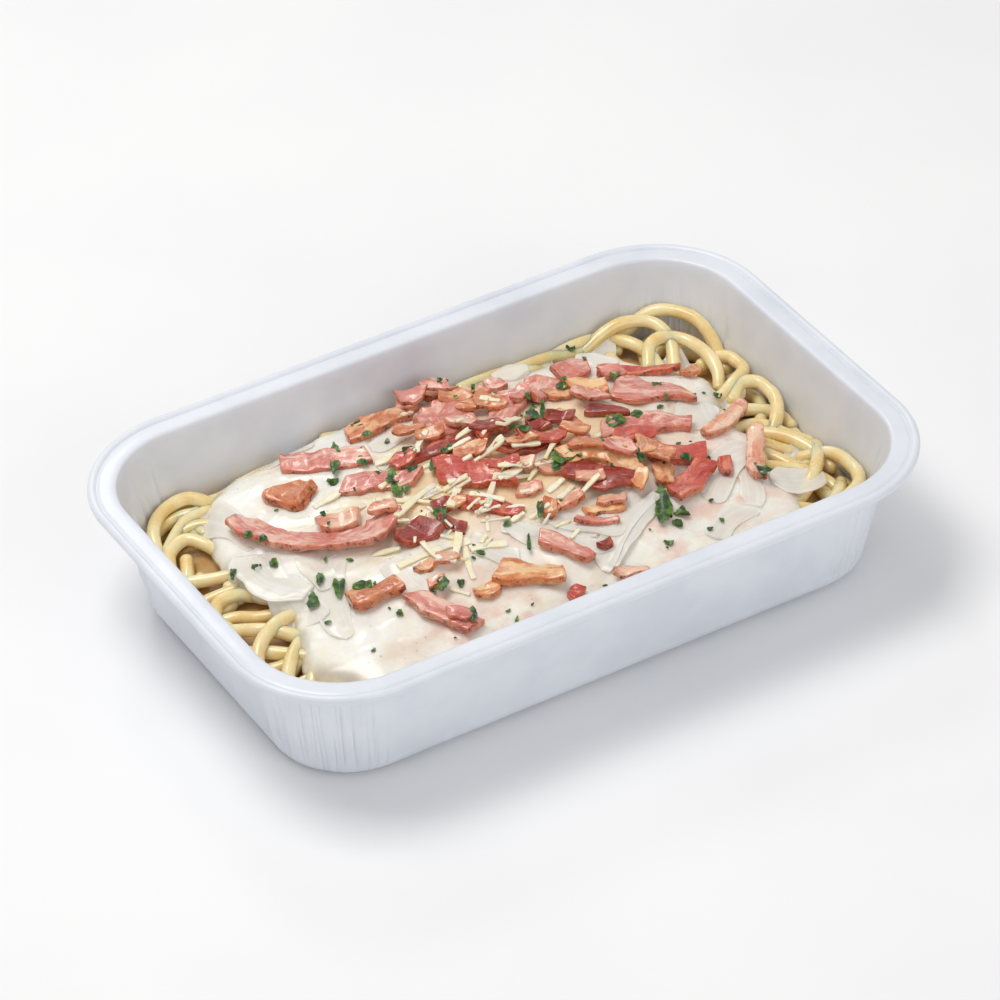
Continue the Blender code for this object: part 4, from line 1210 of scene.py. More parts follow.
@dataclass
class CreamBlanket:
    """The sauce: a swelling blanket with a rounded lip that drapes over the noodles at its edge."""

    edge: Array
    noodles: PlanMap
    rings: int = 112
    lip: float = 3.2
    crowding: float = 1.35
    under_rings: int = 18
    ragged: float = 0.75
    ragged_most: float = 0.35
    heap_middle: Span = (6, 8)
    heap_half: Span = (36, 20)
    heap_warmth: float = 0.85
    fold_warmth: float = 0.18
    least_warmth: float = 0.04
    seed: int = 23
    blush_spots: tuple[Triple, ...] = (
        (-22, -36, 7), (-30, -33, 5), (-12, -33, 6), (20, -36, 6), (38, -30, 5), (31, -25, 4), (-40, 6, 5),
        (-30, 4, 5), (-18, -16, 6), (-6, -12, 6), (20, -24, 6), (54, -20, 6), (46, -24, 9), (50, -10, 7),
        (-30, -22, 7),
    )

    def __post_init__(self) -> None:
        """Prepare the noise and the map of the noodles that press through."""
        self.lumps = Lumps(self.seed)
        self.noodle_soft = self.noodles.softened(1.1)
        self.wells = PlanMap(np.zeros_like(self.noodles.grid))

    def free_level(self, x: Array, y: Array) -> Array:
        """Level of the sauce away from its edge: the dome with swells, a ripple and soft lumps."""
        level = dome(x, y) - SAUCE_BELOW_DOME
        for swell_x, swell_y, height, reach in SWELLS:
            level = level + height * np.exp(-((x - swell_x) ** 2 + (y - swell_y) ** 2) / reach ** 2)
        level = level + 0.22 * np.sin(x / 4.3 + np.sin(y / 6.1)) * np.cos(y / 3.9 + 0.8 * np.sin(x / 7.7))
        soft = self.lumps.over_plan(x, y, 7.0, 2)
        creases = np.abs(self.lumps.over_plan(x * 0.8 + 60, y * 1.5, 7.0, 2))
        return level + 0.45 * soft + 0.20 * np.minimum(creases * 2.0, 1) - 0.15

    def top(self, x: Array, y: Array, inward: Array) -> Array:
        """Level of the top face, a quarter round up from the edge, or over the noodles where they are higher.

        Args:
            x: plan places.
            y: plan places.
            inward: distance in from the edge.

        Returns:
            The level.
        """
        under = self.under(x, y)
        rounding = np.sqrt(1 - (1 - np.clip(inward / self.lip, 0, 1)) ** 2)
        level = under + (self.free_level(x, y) - under) * rounding
        film = 0.25 + 0.45 * np.clip(inward / 6, 0, 1)
        draped = self.noodle_soft.at(x, y) + film * rounding
        blend = np.clip(0.5 + (draped - level) / 1.2, 0, 1)
        level = level * (1 - blend) + draped * blend + 0.3 * blend * (1 - blend)
        return level + self.wells.at(x, y) * rounding

    def under(self, x: Array, y: Array) -> Array:
        """Level of the underside, which rests on the core and hugs the noodles."""
        return np.maximum(core_top(x, y) + 0.3, self.noodle_soft.at(x, y) - 0.75)

    def map(self) -> PlanMap:
        """A map of the sauce's top with the noodles beside it."""
        x, y = PlanMap.places()
        plan = np.column_stack((x.ravel(), y.ravel()))
        inward = -np.concatenate([outside_by(self.edge[::4], part) for part in np.array_split(plan, 40)])
        inward = inward.reshape(x.shape)
        level = np.where(inward > 0, self.top(x, y, np.maximum(inward, 0)), -1.0)
        return PlanMap(np.maximum(level, self.noodles.grid))

    def surface(self) -> Surface:
        """The blanket as a closed skin: underside from the middle out, then the top back in."""
        angle = np.linspace(0, 2 * np.pi, len(self.edge), endpoint=False)
        radius = np.linalg.norm(self.edge, axis=1)
        ragged = self.ragged * self.lumps.over_plan(self.edge[:, 0], self.edge[:, 1], 3.6, 2)
        edge = self.edge * (1 + np.minimum(ragged, self.ragged_most) / radius)[:, None]
        shares = 1 - (1 - np.linspace(0.02, 1, self.rings)) ** self.crowding
        outs = np.linspace(0.05, 0.985, self.under_rings)
        rings = []
        for share in outs:
            plan = edge * share
            rings.append(np.column_stack((plan, self.under(plan[:, 0], plan[:, 1]) - 0.05)))
        inwards = []
        for share in shares[::-1]:
            plan = edge * share
            inward = (1 - share) * radius * 0.92
            rings.append(np.column_stack((plan, self.top(plan[:, 0], plan[:, 1], inward))))
            inwards.append(inward)
        made = skin(np.array(rings))
        hidden = np.full((len(outs), len(angle)), 9.0)
        inward = with_poles(np.concatenate((hidden, np.array(inwards))))
        x, y, z = made.points.T
        film = self.lumps.over_plan(x, y, 5, 2)
        made.values["film"] = (1 - smoothstep(inward, 0.3, 4.5)) * smoothstep(film, -0.4, 0.5)
        fold = self.free_level(x, y) - z + 0.5 * self.lumps.over_plan(x + 30, y, 9, 2)
        (middle_x, middle_y), (half_x, half_y) = self.heap_middle, self.heap_half
        heap = np.exp(-(((x - middle_x) / half_x) ** 2 + ((y - middle_y) / half_y) ** 2) ** 2)
        warmth = self.least_warmth + self.fold_warmth * fold + self.heap_warmth * heap
        made.values["fold"] = np.clip(warmth, 0, 1)
        blush = np.zeros(len(x))
        for spot_x, spot_y, reach in self.blush_spots:
            blush += np.exp(-((x - spot_x) ** 2 + (y - spot_y) ** 2) / reach ** 2)
        made.values["blush"] = np.clip(blush, 0, 1)
        return made.facing_out()

    def build(self) -> Item:
        """Make the sauce."""
        return register(self.surface().piece("cream_blanket", CreamFinish().material()), "cream", "sauce")


@dataclass(frozen=True)
class Strip:
    """A cut strip: where it lies in plan, its section, and how it bends, curls, rolls and twists."""

    x: float
    y: float
    turn: float
    length: float
    width: float
    thick: float = 2.5
    bend: float = 0.0
    bend_power: float = 1.0
    curl: float = 0.0
    roll: float = 0.0
    twist: float = 0.0
    taper: float = 0.15

    def knots(self, steps: int) -> Array:
        """Points of the centreline: its heading turns by the bend, its level is the dome's plus the curl."""
        share = np.linspace(0, 1, steps + 1)
        middle = (share[1:] + share[:-1]) / 2
        run = np.radians(self.turn + self.bend * (middle ** self.bend_power - 0.5 ** self.bend_power))
        path = np.zeros((steps + 1, 2))
        path[1:] = np.cumsum(np.stack((np.cos(run), np.sin(run)), 1), 0) * self.length / steps
        path += np.array((self.x, self.y)) - (path.max(0) + path.min(0)) / 2
        level = dome(path[:, 0], path[:, 1]) + self.curl * (2 * share - 1) ** 2
        return np.column_stack((path, level))


@dataclass
class Cut:
    """How a kind of strip is cut and cooked: its ends, edges and waves."""

    steps: int
    along: float
    sides: int
    squareness: float
    thinness: float
    ragged: float
    wave: float
    crinkle: float
    rounding: float
    seed: int
    slant: float
    uneven: float
    wider: float = 1.0
    tumble: float = 0.0
    end_angles: tuple[float, ...] = (18, 40, 62, 80)
    least_side: float = 0.05
    least_height: float = 0.03

    def rings(self, strip: Strip, lumps: Lumps, offset: float) -> tuple[Array, Array, Array]:
        """Rings of a strip's skin.

        The section is a superellipse, cos and sin raised to 2 over the squareness.
        It is carried along the centreline, drawn in over a quarter round at both
        ends, sheared so that the ends are cut aslant, its edges and faces moved by
        noise. A draw of its own leans and twists each strip by up to the tumble.

        Args:
            strip: the strip.
            lumps: the noise that roughens it.
            offset: a place in the noise of its own.

        Returns:
            The rings, the place in the grain of each point, and how near it is to a cut edge.
        """
        count = max(10, round(strip.length / self.along))
        body = np.linspace(0, 1, count)
        angles = np.radians(self.end_angles)
        share = held_ends(body, len(angles))
        out = np.concatenate((-np.sin(angles[::-1]), np.zeros(count), np.sin(angles))) * self.rounding
        drawn = np.concatenate((1 - np.cos(angles[::-1]), np.zeros(count), 1 - np.cos(angles)))
        curve = even_steps(spline(strip.knots(self.steps), fine=16), count, closed=False)
        heading = held_ends(unit(np.gradient(curve, axis=0)), len(angles))
        curve = held_ends(curve, len(angles)) + heading * out[:, None]
        across = unit(np.cross(UP, heading))
        stand = np.cross(heading, across)
        draw = np.random.default_rng(self.seed + round(offset * 10))
        first, last, lean, turned = draw.uniform(-1, 1, 4)
        curve[:, 2] += self.tumble * 0.1 * draw.uniform(-0.3, 1) * (2 * share - 1) ** 2
        tilt = np.radians(strip.roll + self.tumble * lean
                          + (strip.twist + 2 * self.tumble * turned) * (share - 0.5))[:, None]
        across, stand = (across * np.cos(tilt) + stand * np.sin(tilt),
                         stand * np.cos(tilt) - across * np.sin(tilt))
        away = np.abs(2 * share - 1)
        run = share * strip.length + out
        wave = 1 + 0.09 * np.sin(share * 9 + strip.x * 1.7 + strip.y)
        varied = stacked(run, offset, 3.0)
        width = strip.width * self.wider * (1 - strip.taper * away ** 3) * wave
        width = width * (1 + self.uneven * lumps.at(varied, 4.5, 2))
        thick = strip.thick * self.thinness * (1 + self.uneven * lumps.at(varied + 9.0, 4.0, 2))
        turn = np.linspace(0, 2 * np.pi, self.sides, endpoint=False)
        run, width, thick = run[:, None], width[:, None], thick[:, None]
        inset = drawn[:, None] * self.rounding
        u, v = squarish(turn, 2 / self.squareness)
        side = np.sign(u) * np.maximum(np.abs(u) * width / 2 - inset, self.least_side)
        height = np.sign(v) * np.maximum(np.abs(v) * thick / 2 - inset, self.least_height)
        grain = stacked(run + offset, u * width / 2, offset + v)
        edge_noise = lumps.at(stacked(run, 9.0 * np.sign(u), offset), 2.6, 3)
        side = side * (1 + self.ragged * edge_noise * np.abs(u) ** 2)
        sheared = side * self.slant * (first + (last - first) * share)[:, None]
        sway = self.wave * lumps.at(stacked(run, u * width * 0.35, offset + 5.0), 5.5, 2)
        crinkles = self.crinkle * lumps.at(grain * (1.0, 0.8, 1.0), 1.5, 3)
        lift = sway + crinkles * (0.3 + np.abs(v))
        rings = (curve[:, None] + across[:, None] * side[..., None] + heading[:, None] * sheared[..., None]
                 + stand[:, None] * (height + lift)[..., None])
        near_side = smoothstep(np.abs(u) * np.ones_like(side), 0.72, 1.0)
        near_end = 1 - smoothstep(np.minimum(run, strip.length - run), -0.2, 1.1)
        return rings, grain, np.maximum(near_side, near_end)


@dataclass
class Platter:
    """What is laid so far: it lets each new strip down onto what lies below it."""

    tops: PlanMap
    tray: PressedTray
    sink: float = 0.3
    drops: Span = (-0.2, 2.2)
    most_sag: float = 2.5
    lay_on: float = 8
    settle_on: float = 4
    gap_blur: float = 1 / 14
    drop_blur: float = 1 / 10

    def lay(self, rings: Array, node: str, follow: float) -> Array:
        """Let a strip down from its node's place until it touches, sagging a little between its supports.

        Args:
            rings: the strip's rings at the dome's level.
            node: the CAD node that it stands for.
            follow: share of a gap that its free stretches sag.

        Returns:
            The rings at rest.
        """
        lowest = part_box(node)[0].z / MM
        rings = rings + UP * (lowest - rings[..., 2].min())
        gap = (rings[..., 2] - self.tops.at(rings[..., 0], rings[..., 1])).min(1)
        gap = smoothed_along(gap, len(gap) * self.gap_blur)
        least = np.percentile(gap, self.lay_on)
        drop = np.clip(least + self.sink, *self.drops) + follow * np.clip(gap - least, 0, self.most_sag)
        rings = rings - UP * smoothed_along(drop, len(gap) * self.drop_blur)[:, None, None]
        self.tops.raise_to(rings.reshape(-1, 3))
        return rings

    def settle(self, rings: Array) -> Array:
        """Set a small piece down on its highest supports, sunk in a little."""
        gap = rings[..., 2] - self.tops.at(rings[..., 0], rings[..., 1])
        rings = rings - UP * (np.percentile(gap, self.settle_on) + self.sink)
        self.tops.raise_to(rings.reshape(-1, 3))
        return rings


PINK, RED, DARK, FAT, ROAST, SALMON = BaconTone

# Bacon from the bottom of the heap to the top: the tone and the strip of each piece
BACON = (
    (PINK, Strip(-26, 32, -36, 19, 5, 2.4, bend=6)),
    (ROAST, Strip(-37, 25, -64, 7, 7, 3.6, bend=50, curl=1.0)),
    (PINK, Strip(-38, 14, -46, 42, 6, 2.2, bend=125, bend_power=2.5, roll=-8, taper=0.35)),
    (SALMON, Strip(-35, 9.7, -15, 8.5, 4.2, 2.8, bend=15)),
    (PINK, Strip(-21, 16.5, -30, 16, 4.8, 2.6, bend=-8)),
    (ROAST, Strip(-11, 36, 0, 14, 4.5, 2.6, bend=10)),
    (ROAST, Strip(7, 40, -28, 8, 4, 2.6, bend=-60, curl=0.6)),
    (PINK, Strip(-1, 40, -18, 4.5, 4, 2.5)),
    (PINK, Strip(0, 29, 23, 12, 9, 2.8, bend=30, curl=1.2)),
    (ROAST, Strip(11, 33.3, -3, 7.5, 4.2, 2.8, bend=12)),
    (PINK, Strip(13, 23, 46, 16, 5.5, 2.6, bend=8)),
    (PINK, Strip(18, 35, -26, 4, 3.5, 2.5)),
    (PINK, Strip(25, 28, 30, 8.5, 7, 2.4, bend=20, curl=0.8)),
    (DARK, Strip(-5, 18, -7, 17, 3.2, 2.4, bend=-14)),
    (RED, Strip(-4, 6, -40, 16.5, 6.5, 3.0, bend=4)),
    (RED, Strip(-7, -5, -49, 14, 3.2, 2.6, bend=6)),
    (DARK, Strip(-24, -3, -5, 9, 6.5, 2.8, bend=40, curl=1.2)),
    (DARK, Strip(-15, 1, -11, 4, 3, 2.2)),
    (DARK, Strip(12, 8, -8, 11.5, 3, 2.2, bend=12)),
    (DARK, Strip(17, 15, -75, 5.5, 2.6, 2.4)),
    (PINK, Strip(35, 30, 3, 8, 5.5, 2.6, bend=-10)),
    (RED, Strip(48, 24, -21, 18, 2.8, 2.2, bend=-30, curl=0.4)),
    (FAT, Strip(34, 22, -22, 8, 4.5, 3.0)),
    (PINK, Strip(46, 15.5, -28, 16, 7.5, 2.2, bend=5, curl=0.3)),
    (ROAST, Strip(23, 10, -93, 13, 2.4, 2.4, bend=-30)),
    (DARK, Strip(33, 12, -42, 9, 2.6, 2.4)),
    (PINK, Strip(37, 3, -16, 20, 5, 2.8, bend=-24)),
    (FAT, Strip(20, -7, -60, 22, 5, 2.4, bend=-140, roll=10)),
    (ROAST, Strip(31, -13.7, 63, 6.2, 3.2, 2.6)),
    (RED, Strip(38, -8, -24, 12.5, 5.4, 2.8, bend=22, curl=0.8)),
    (RED, Strip(35, -18, 29, 14, 4.8, 2.6, bend=6)),
    (FAT, Strip(14, -17, -14, 8, 2.8, 2.0, bend=20)),
    (SALMON, Strip(9, -12, 9, 6.5, 3, 2.2)),
    (PINK, Strip(10.5, -20, -26, 9, 1.8, 1.6, bend=10)),
    (ROAST, Strip(3.5, -13.5, 33, 3.5, 2.4, 2.2)),
    (SALMON, Strip(55, 0, 31, 18, 3.4, 2.6, bend=25, taper=0.3)),
    (SALMON, Strip(54.5, -14.5, 58, 20, 3.6, 2.6, bend=-18, taper=0.3)),
    (RED, Strip(45, -16, 63, 5, 3, 2.4)),
    (ROAST, Strip(-40, -14, -9, 11, 5, 3.2, bend=10)),
    (PINK, Strip(-30.5, -26.5, -67, 16, 4.4, 2.6, bend=18)),
    (SALMON, Strip(-28, -19, -6, 3.6, 2.6, 2.0)),
    (FAT, Strip(-20, -26, -9, 5.5, 3.6, 2.2, bend=20)),
    (ROAST, Strip(-27, -13.5, 2, 5, 2.2, 1.8)),
    (FAT, Strip(-10, -27, -33, 13.5, 5.2, 3.0, bend=5)),
    (PINK, Strip(0, -24.5, -59, 12, 3.5, 2.6, bend=-12)),
    (RED, Strip(-4, -35, 26, 3.6, 2.7, 2.2)),
)
# Onion slices, under the bacon
ONION = (
    Strip(-53.5, 5, -78, 21, 10, 1.4, bend=60, curl=0.6, taper=0.4),
    Strip(0.5, -17, -34, 20, 4.5, 1.2, bend=12, taper=0.3),
    Strip(16.5, -25.5, 35, 25, 4.8, 1.2, bend=-18, twist=40, taper=0.3),
    Strip(53, 3, -106, 10, 6, 1.2, bend=20, taper=0.4),
    Strip(58, -24.5, -20, 12, 9, 1.4, bend=20, taper=0.6),
    Strip(24, 38, -3, 8.5, 5, 2.8, taper=0.5),
    Strip(43, 33, -48, 9.5, 5.5, 2.0, bend=15, taper=0.5),
    Strip(46.5, -23, 66, 14, 5, 1.2, bend=15, taper=0.4),
)


@dataclass(frozen=True)
class PhotoCamera:
    """The camera that took the photograph: where it stands, how it is turned and its lens."""

    azimuth: float = -29.3334
    elevation: float = 37.2505
    roll: float = -2.5463
    distance: float = 1109.73
    target: Triple = (-7.963, -11.668, 31.0)
    lens: float = 191.267
    sensor: float = 36.0
    picture: float = 1000.0
    highest: float = 36.0
    lowest: float = 6.0
    reach: Span = (68.0, 42.5)

    def axes(self) -> tuple[Array, Array, Array]:
        """Directions to the picture's right, to its top and back to the camera."""
        azimuth, elevation, roll = np.radians((self.azimuth, self.elevation, self.roll))
        back = np.array((math.sin(azimuth) * math.cos(elevation), -math.cos(azimuth) * math.cos(elevation),
                         math.sin(elevation)))
        right = unit(np.cross(-back, UP))
        up = np.cross(right, -back)
        return (right * math.cos(roll) + up * math.sin(roll),
                up * math.cos(roll) - right * math.sin(roll), back)

    def onto(self, pixels: Array, tops: PlanMap) -> Array:
        """Plan places where lines of sight first meet what is laid so far.

        Each line of sight is followed down through even levels, and the first
        level that lies under the tops' height there is kept. No place lies
        further out than the reach, which keeps small things inside the tray.

        Args:
            pixels: places in the photograph, in pixels.
            tops: the map of what is laid.

        Returns:
            The places in plan.
        """
        right, up, back = self.axes()
        spread = self.sensor / self.lens / self.picture
        across = (np.asarray(pixels, float) - self.picture / 2) * spread
        ray = -back + across[:, :1] * right - across[:, 1:] * up
        levels = np.linspace(self.highest, self.lowest, 301)
        eye = np.array(self.target) + back * self.distance
        plan = eye[:2] + ray[:, None, :2] * ((levels[None] - eye[2]) / ray[:, 2:])[..., None]
        under = tops.at(plan[..., 0], plan[..., 1]) >= levels[None]
        return np.clip(plan[np.arange(len(plan)), under.argmax(1)], -np.array(self.reach), self.reach)


@dataclass
class Rashers:
    """The bacon, laid piece by piece."""

    platter: Platter
    cut: Cut = field(default_factory=lambda: Cut(
        steps=5, along=0.42, sides=40, squareness=6.0, thinness=0.74, ragged=0.11, wave=0.85, crinkle=0.12,
        rounding=0.24, seed=31, slant=0.5, uneven=0.24, wider=1.18, tumble=9.0))

    def build(self) -> PlanMap:
        """Make every piece of bacon, and give a map of where they lie."""
        lumps = Lumps(self.cut.seed)
        finishes = {tone: BaconFinish(tone).material() for tone in BaconTone}
        cover = PlanMap(np.zeros_like(self.platter.tops.grid))
        gnarled = replace(self.cut, crinkle=0.34, ragged=0.22, uneven=0.3, squareness=2.8)
        for number, (tone, strip) in enumerate(BACON, 1):
            node = f"bacon_{number:02d}"
            cut = gnarled if tone is SALMON and strip.length > 10 else self.cut
            rings, grain, rim = cut.rings(strip, lumps, 13.7 * number)
            rings = self.platter.lay(rings, node, 0.35)
            made = grained(rings, grain, rim)
            self.platter.tray.serve([made], f"rasher_{number:02d}", finishes[tone], "bacon", node)
            flat = rings.reshape(-1, 3).copy()
            flat[:, 2] = 1
            cover.raise_to(flat)
        self.scraps(finishes, lumps)
        return cover

    def scraps(self, finishes: dict, lumps: Lumps) -> None:
        """Small scraps between the pieces, joined to one piece for each tone; two dark scraps are painted
        shade under a curled piece.
        """
        cut = replace(self.cut, along=0.36, sides=24, uneven=0.3, crinkle=0.14, slant=0.6)
        kinds: dict[BaconTone, list[Surface]] = {}
        places = PhotoCamera().onto([scrap[1:3] for scrap in SCRAPS], self.platter.tops)
        for number, ((tone, _, _, turn, length, width), (x, y)) in enumerate(zip(SCRAPS, places)):
            strip = Strip(x, y, turn, length, width, 1.6, bend=12)
            rings, grain, rim = cut.rings(strip, lumps, 5.9 * number + 700)
            kinds.setdefault(tone, []).append(grained(self.platter.settle(rings), grain, rim))
        for tone, parts in kinds.items():
            self.platter.tray.serve(parts, f"scraps_{tone.name.lower()}", finishes[tone], "bacon")


# Bacon scraps: the tone, the place in the photograph in pixels, the turn in plan, length and width
SCRAPS = (
    (DARK, 452, 526, -60, 6.5, 3.0), (PINK, 612, 377, -20, 4.5, 3.0), (ROAST, 692, 376, 20, 4.5, 2.4),
    (ROAST, 470, 403, -30, 8.0, 4.0), (RED, 515, 446, -20, 8.5, 3.2), (ROAST, 600, 447, -35, 12.0, 3.6),
    # Painted shade: the dark scraps at 612, 484 and 583, 476 stand for the shadow under a curled piece
    (RED, 634, 441, -25, 9.0, 3.6), (ROAST, 648, 452, 60, 6.0, 4.5), (DARK, 612, 484, -30, 9.5, 6.0),
    (DARK, 583, 476, -25, 8.0, 4.5), (DARK, 606, 547, 10, 3.0, 1.5), (SALMON, 632, 575, -25, 6.5, 2.6),
    (PINK, 411, 402, -30, 6.0, 4.5), (ROAST, 453, 400, -15, 6.0, 3.4), (RED, 404, 459, 10, 6.0, 3.2),
    (ROAST, 556, 396, -20, 5.0, 3.0), (SALMON, 520, 470, -30, 6.0, 2.6), (ROAST, 549, 508, 50, 4.0, 3.0),
    (SALMON, 590, 487, -20, 6.0, 3.6), (DARK, 534, 429, 10, 5.0, 2.4), (RED, 484, 440, 30, 5.0, 2.8),
    (SALMON, 447, 565, -20, 4.6, 3.0), (PINK, 460, 615, -35, 5.0, 2.6), (ROAST, 662, 462, 30, 5.5, 3.4),
    (PINK, 437, 398, -50, 5.0, 3.6), (ROAST, 490, 405, -30, 6.5, 3.4), (RED, 543, 441, -25, 10.0, 3.2),
    (DARK, 488, 436, -20, 6.0, 3.4), (SALMON, 552, 472, -30, 5.0, 2.8), (ROAST, 520, 448, -10, 6.5, 2.8),
    (PINK, 462, 425, -40, 6.5, 3.4), (ROAST, 430, 440, -20, 6.0, 3.0), (SALMON, 385, 515, -30, 5.0, 2.8),
    (ROAST, 575, 440, -50, 6.0, 3.0), (DARK, 560, 420, -30, 6.0, 2.8), (SALMON, 612, 500, -20, 6.0, 2.8),
    (FAT, 640, 478, 40, 5.0, 3.0), (PINK, 588, 402, -20, 7.0, 3.6), (RED, 505, 470, -30, 6.0, 3.0),
    (ROAST, 470, 455, -20, 7.0, 3.0), (PINK, 620, 455, -30, 6.0, 3.2), (SALMON, 530, 490, -20, 5.0, 2.8),
    (ROAST, 410, 440, -30, 6.5, 3.2), (PINK, 520, 395, 40, 6.0, 3.6), (FAT, 455, 505, -20, 4.5, 2.6),
)
# Onion sheets: the two ends in the photograph, in pixels, then the width
SHEETS = (
    (200, 520, 262, 545, 7.5), (262, 556, 322, 622, 7.5), (338, 556, 346, 640, 6.0),
    (372, 452, 416, 430, 4.5), (378, 470, 404, 456, 4.0), (500, 372, 520, 352, 8.0),
    (556, 358, 616, 348, 6.5), (655, 362, 682, 352, 5.5), (672, 378, 690, 366, 4.0),
    (690, 430, 738, 384, 8.0), (706, 500, 758, 452, 9.0), (778, 468, 804, 446, 5.0),
    (506, 524, 616, 548, 5.0), (538, 512, 626, 530, 5.0), (602, 572, 668, 478, 5.5),
    (590, 412, 628, 398, 6.5), (240, 470, 290, 440, 7.0), (470, 540, 520, 560, 5.0),
    (392, 560, 430, 600, 6.0), (300, 540, 330, 590, 6.0), (520, 470, 550, 450, 4.5),
    (715, 540, 752, 508, 5.0),
)
# Grated cheese: the two ends of each shred in the photograph, in pixels, then the width
SHREDS = (
    (314, 508, 340, 490, 1.3), (328, 516, 365, 504, 1.9), (395, 516, 434, 484, 1.5),
    (398, 568, 448, 547, 1.6), (454, 565, 460, 526, 1.5), (464, 547, 473, 580, 1.3),
    (451, 514, 458, 490, 1.7), (485, 454, 503, 439, 1.5), (412, 409, 403, 418, 1.2),
    (548, 493, 563, 478, 1.3), (559, 501, 573, 483, 1.2), (487, 517, 488, 532, 0.7),
    (416, 535, 415, 550, 0.6), (428, 511, 452, 529, 0.6), (470, 550, 507, 544, 1.9),
    (375, 463, 420, 450, 2.0), (376, 503, 424, 500, 1.3), (404, 498, 436, 506, 1.0),
    (512, 453, 540, 446, 1.2), (505, 482, 530, 474, 1.0), (498, 470, 522, 477, 1.1),
    (470, 497, 505, 503, 1.2), (520, 492, 541, 486, 1.1), (508, 461, 520, 470, 1.0),
    (536, 470, 556, 462, 1.0), (395, 480, 380, 492, 1.0), (440, 532, 462, 540, 1.0),
    (372, 552, 400, 548, 1.2), (450, 590, 470, 596, 0.8), (420, 540, 440, 560, 1.1),
    (585, 436, 606, 430, 1.0), (480, 398, 500, 402, 1.5), (500, 425, 516, 418, 2.4),
    (440, 548, 470, 540, 2.2), (498, 478, 520, 466, 2.0),
)
# Parsley: the middle in the photograph, in pixels, and its size there across and up
FLAKES = (
    (335, 458, 11, 34), (358, 427, 14, 4), (382, 394, 14, 6), (443, 380, 12, 7), (473, 390, 4, 10),
    (367, 439, 9, 5), (361, 454, 7, 9), (363, 465, 12, 5), (333, 483, 12, 8), (410, 451, 16, 12),
    (448, 448, 16, 10), (392, 478, 13, 14), (397, 493, 11, 16), (412, 469, 12, 8), (406, 492, 7, 9),
    (433, 471, 8, 11), (463, 471, 13, 18), (479, 447, 6, 5), (440, 514, 13, 18), (466, 420, 6, 6),
    (532, 418, 16, 14), (543, 414, 6, 22), (524, 430, 14, 8), (513, 431, 14, 4), (563, 457, 25, 13),
    (556, 468, 9, 13), (562, 388, 12, 8), (571, 350, 10, 5), (615, 377, 10, 8), (615, 425, 20, 14),
    (603, 442, 5, 5), (637, 414, 13, 9), (657, 386, 10, 6), (666, 400, 3, 9), (660, 408, 7, 4),
    (641, 458, 8, 18), (686, 458, 11, 6), (718, 398, 9, 6), (764, 470, 15, 9), (663, 509, 17, 38),
    (682, 515, 16, 7), (678, 525, 11, 8), (669, 544, 10, 5), (540, 508, 7, 18), (507, 525, 8, 6),
    (529, 546, 4, 16), (481, 554, 9, 5), (461, 584, 7, 8), (443, 591, 12, 12), (473, 614, 8, 14),
    (400, 615, 7, 6), (363, 587, 20, 13), (339, 588, 12, 19), (320, 580, 8, 12), (313, 603, 12, 14),
    (274, 565, 9, 9), (257, 570, 10, 8), (233, 573, 7, 9), (248, 538, 9, 5), (263, 540, 9, 5),
    (323, 515, 6, 5), (722, 521, 5, 4), (710, 530, 6, 4), (711, 502, 5, 3), (557, 470, 5, 5),
    (528, 400, 6, 6),
)


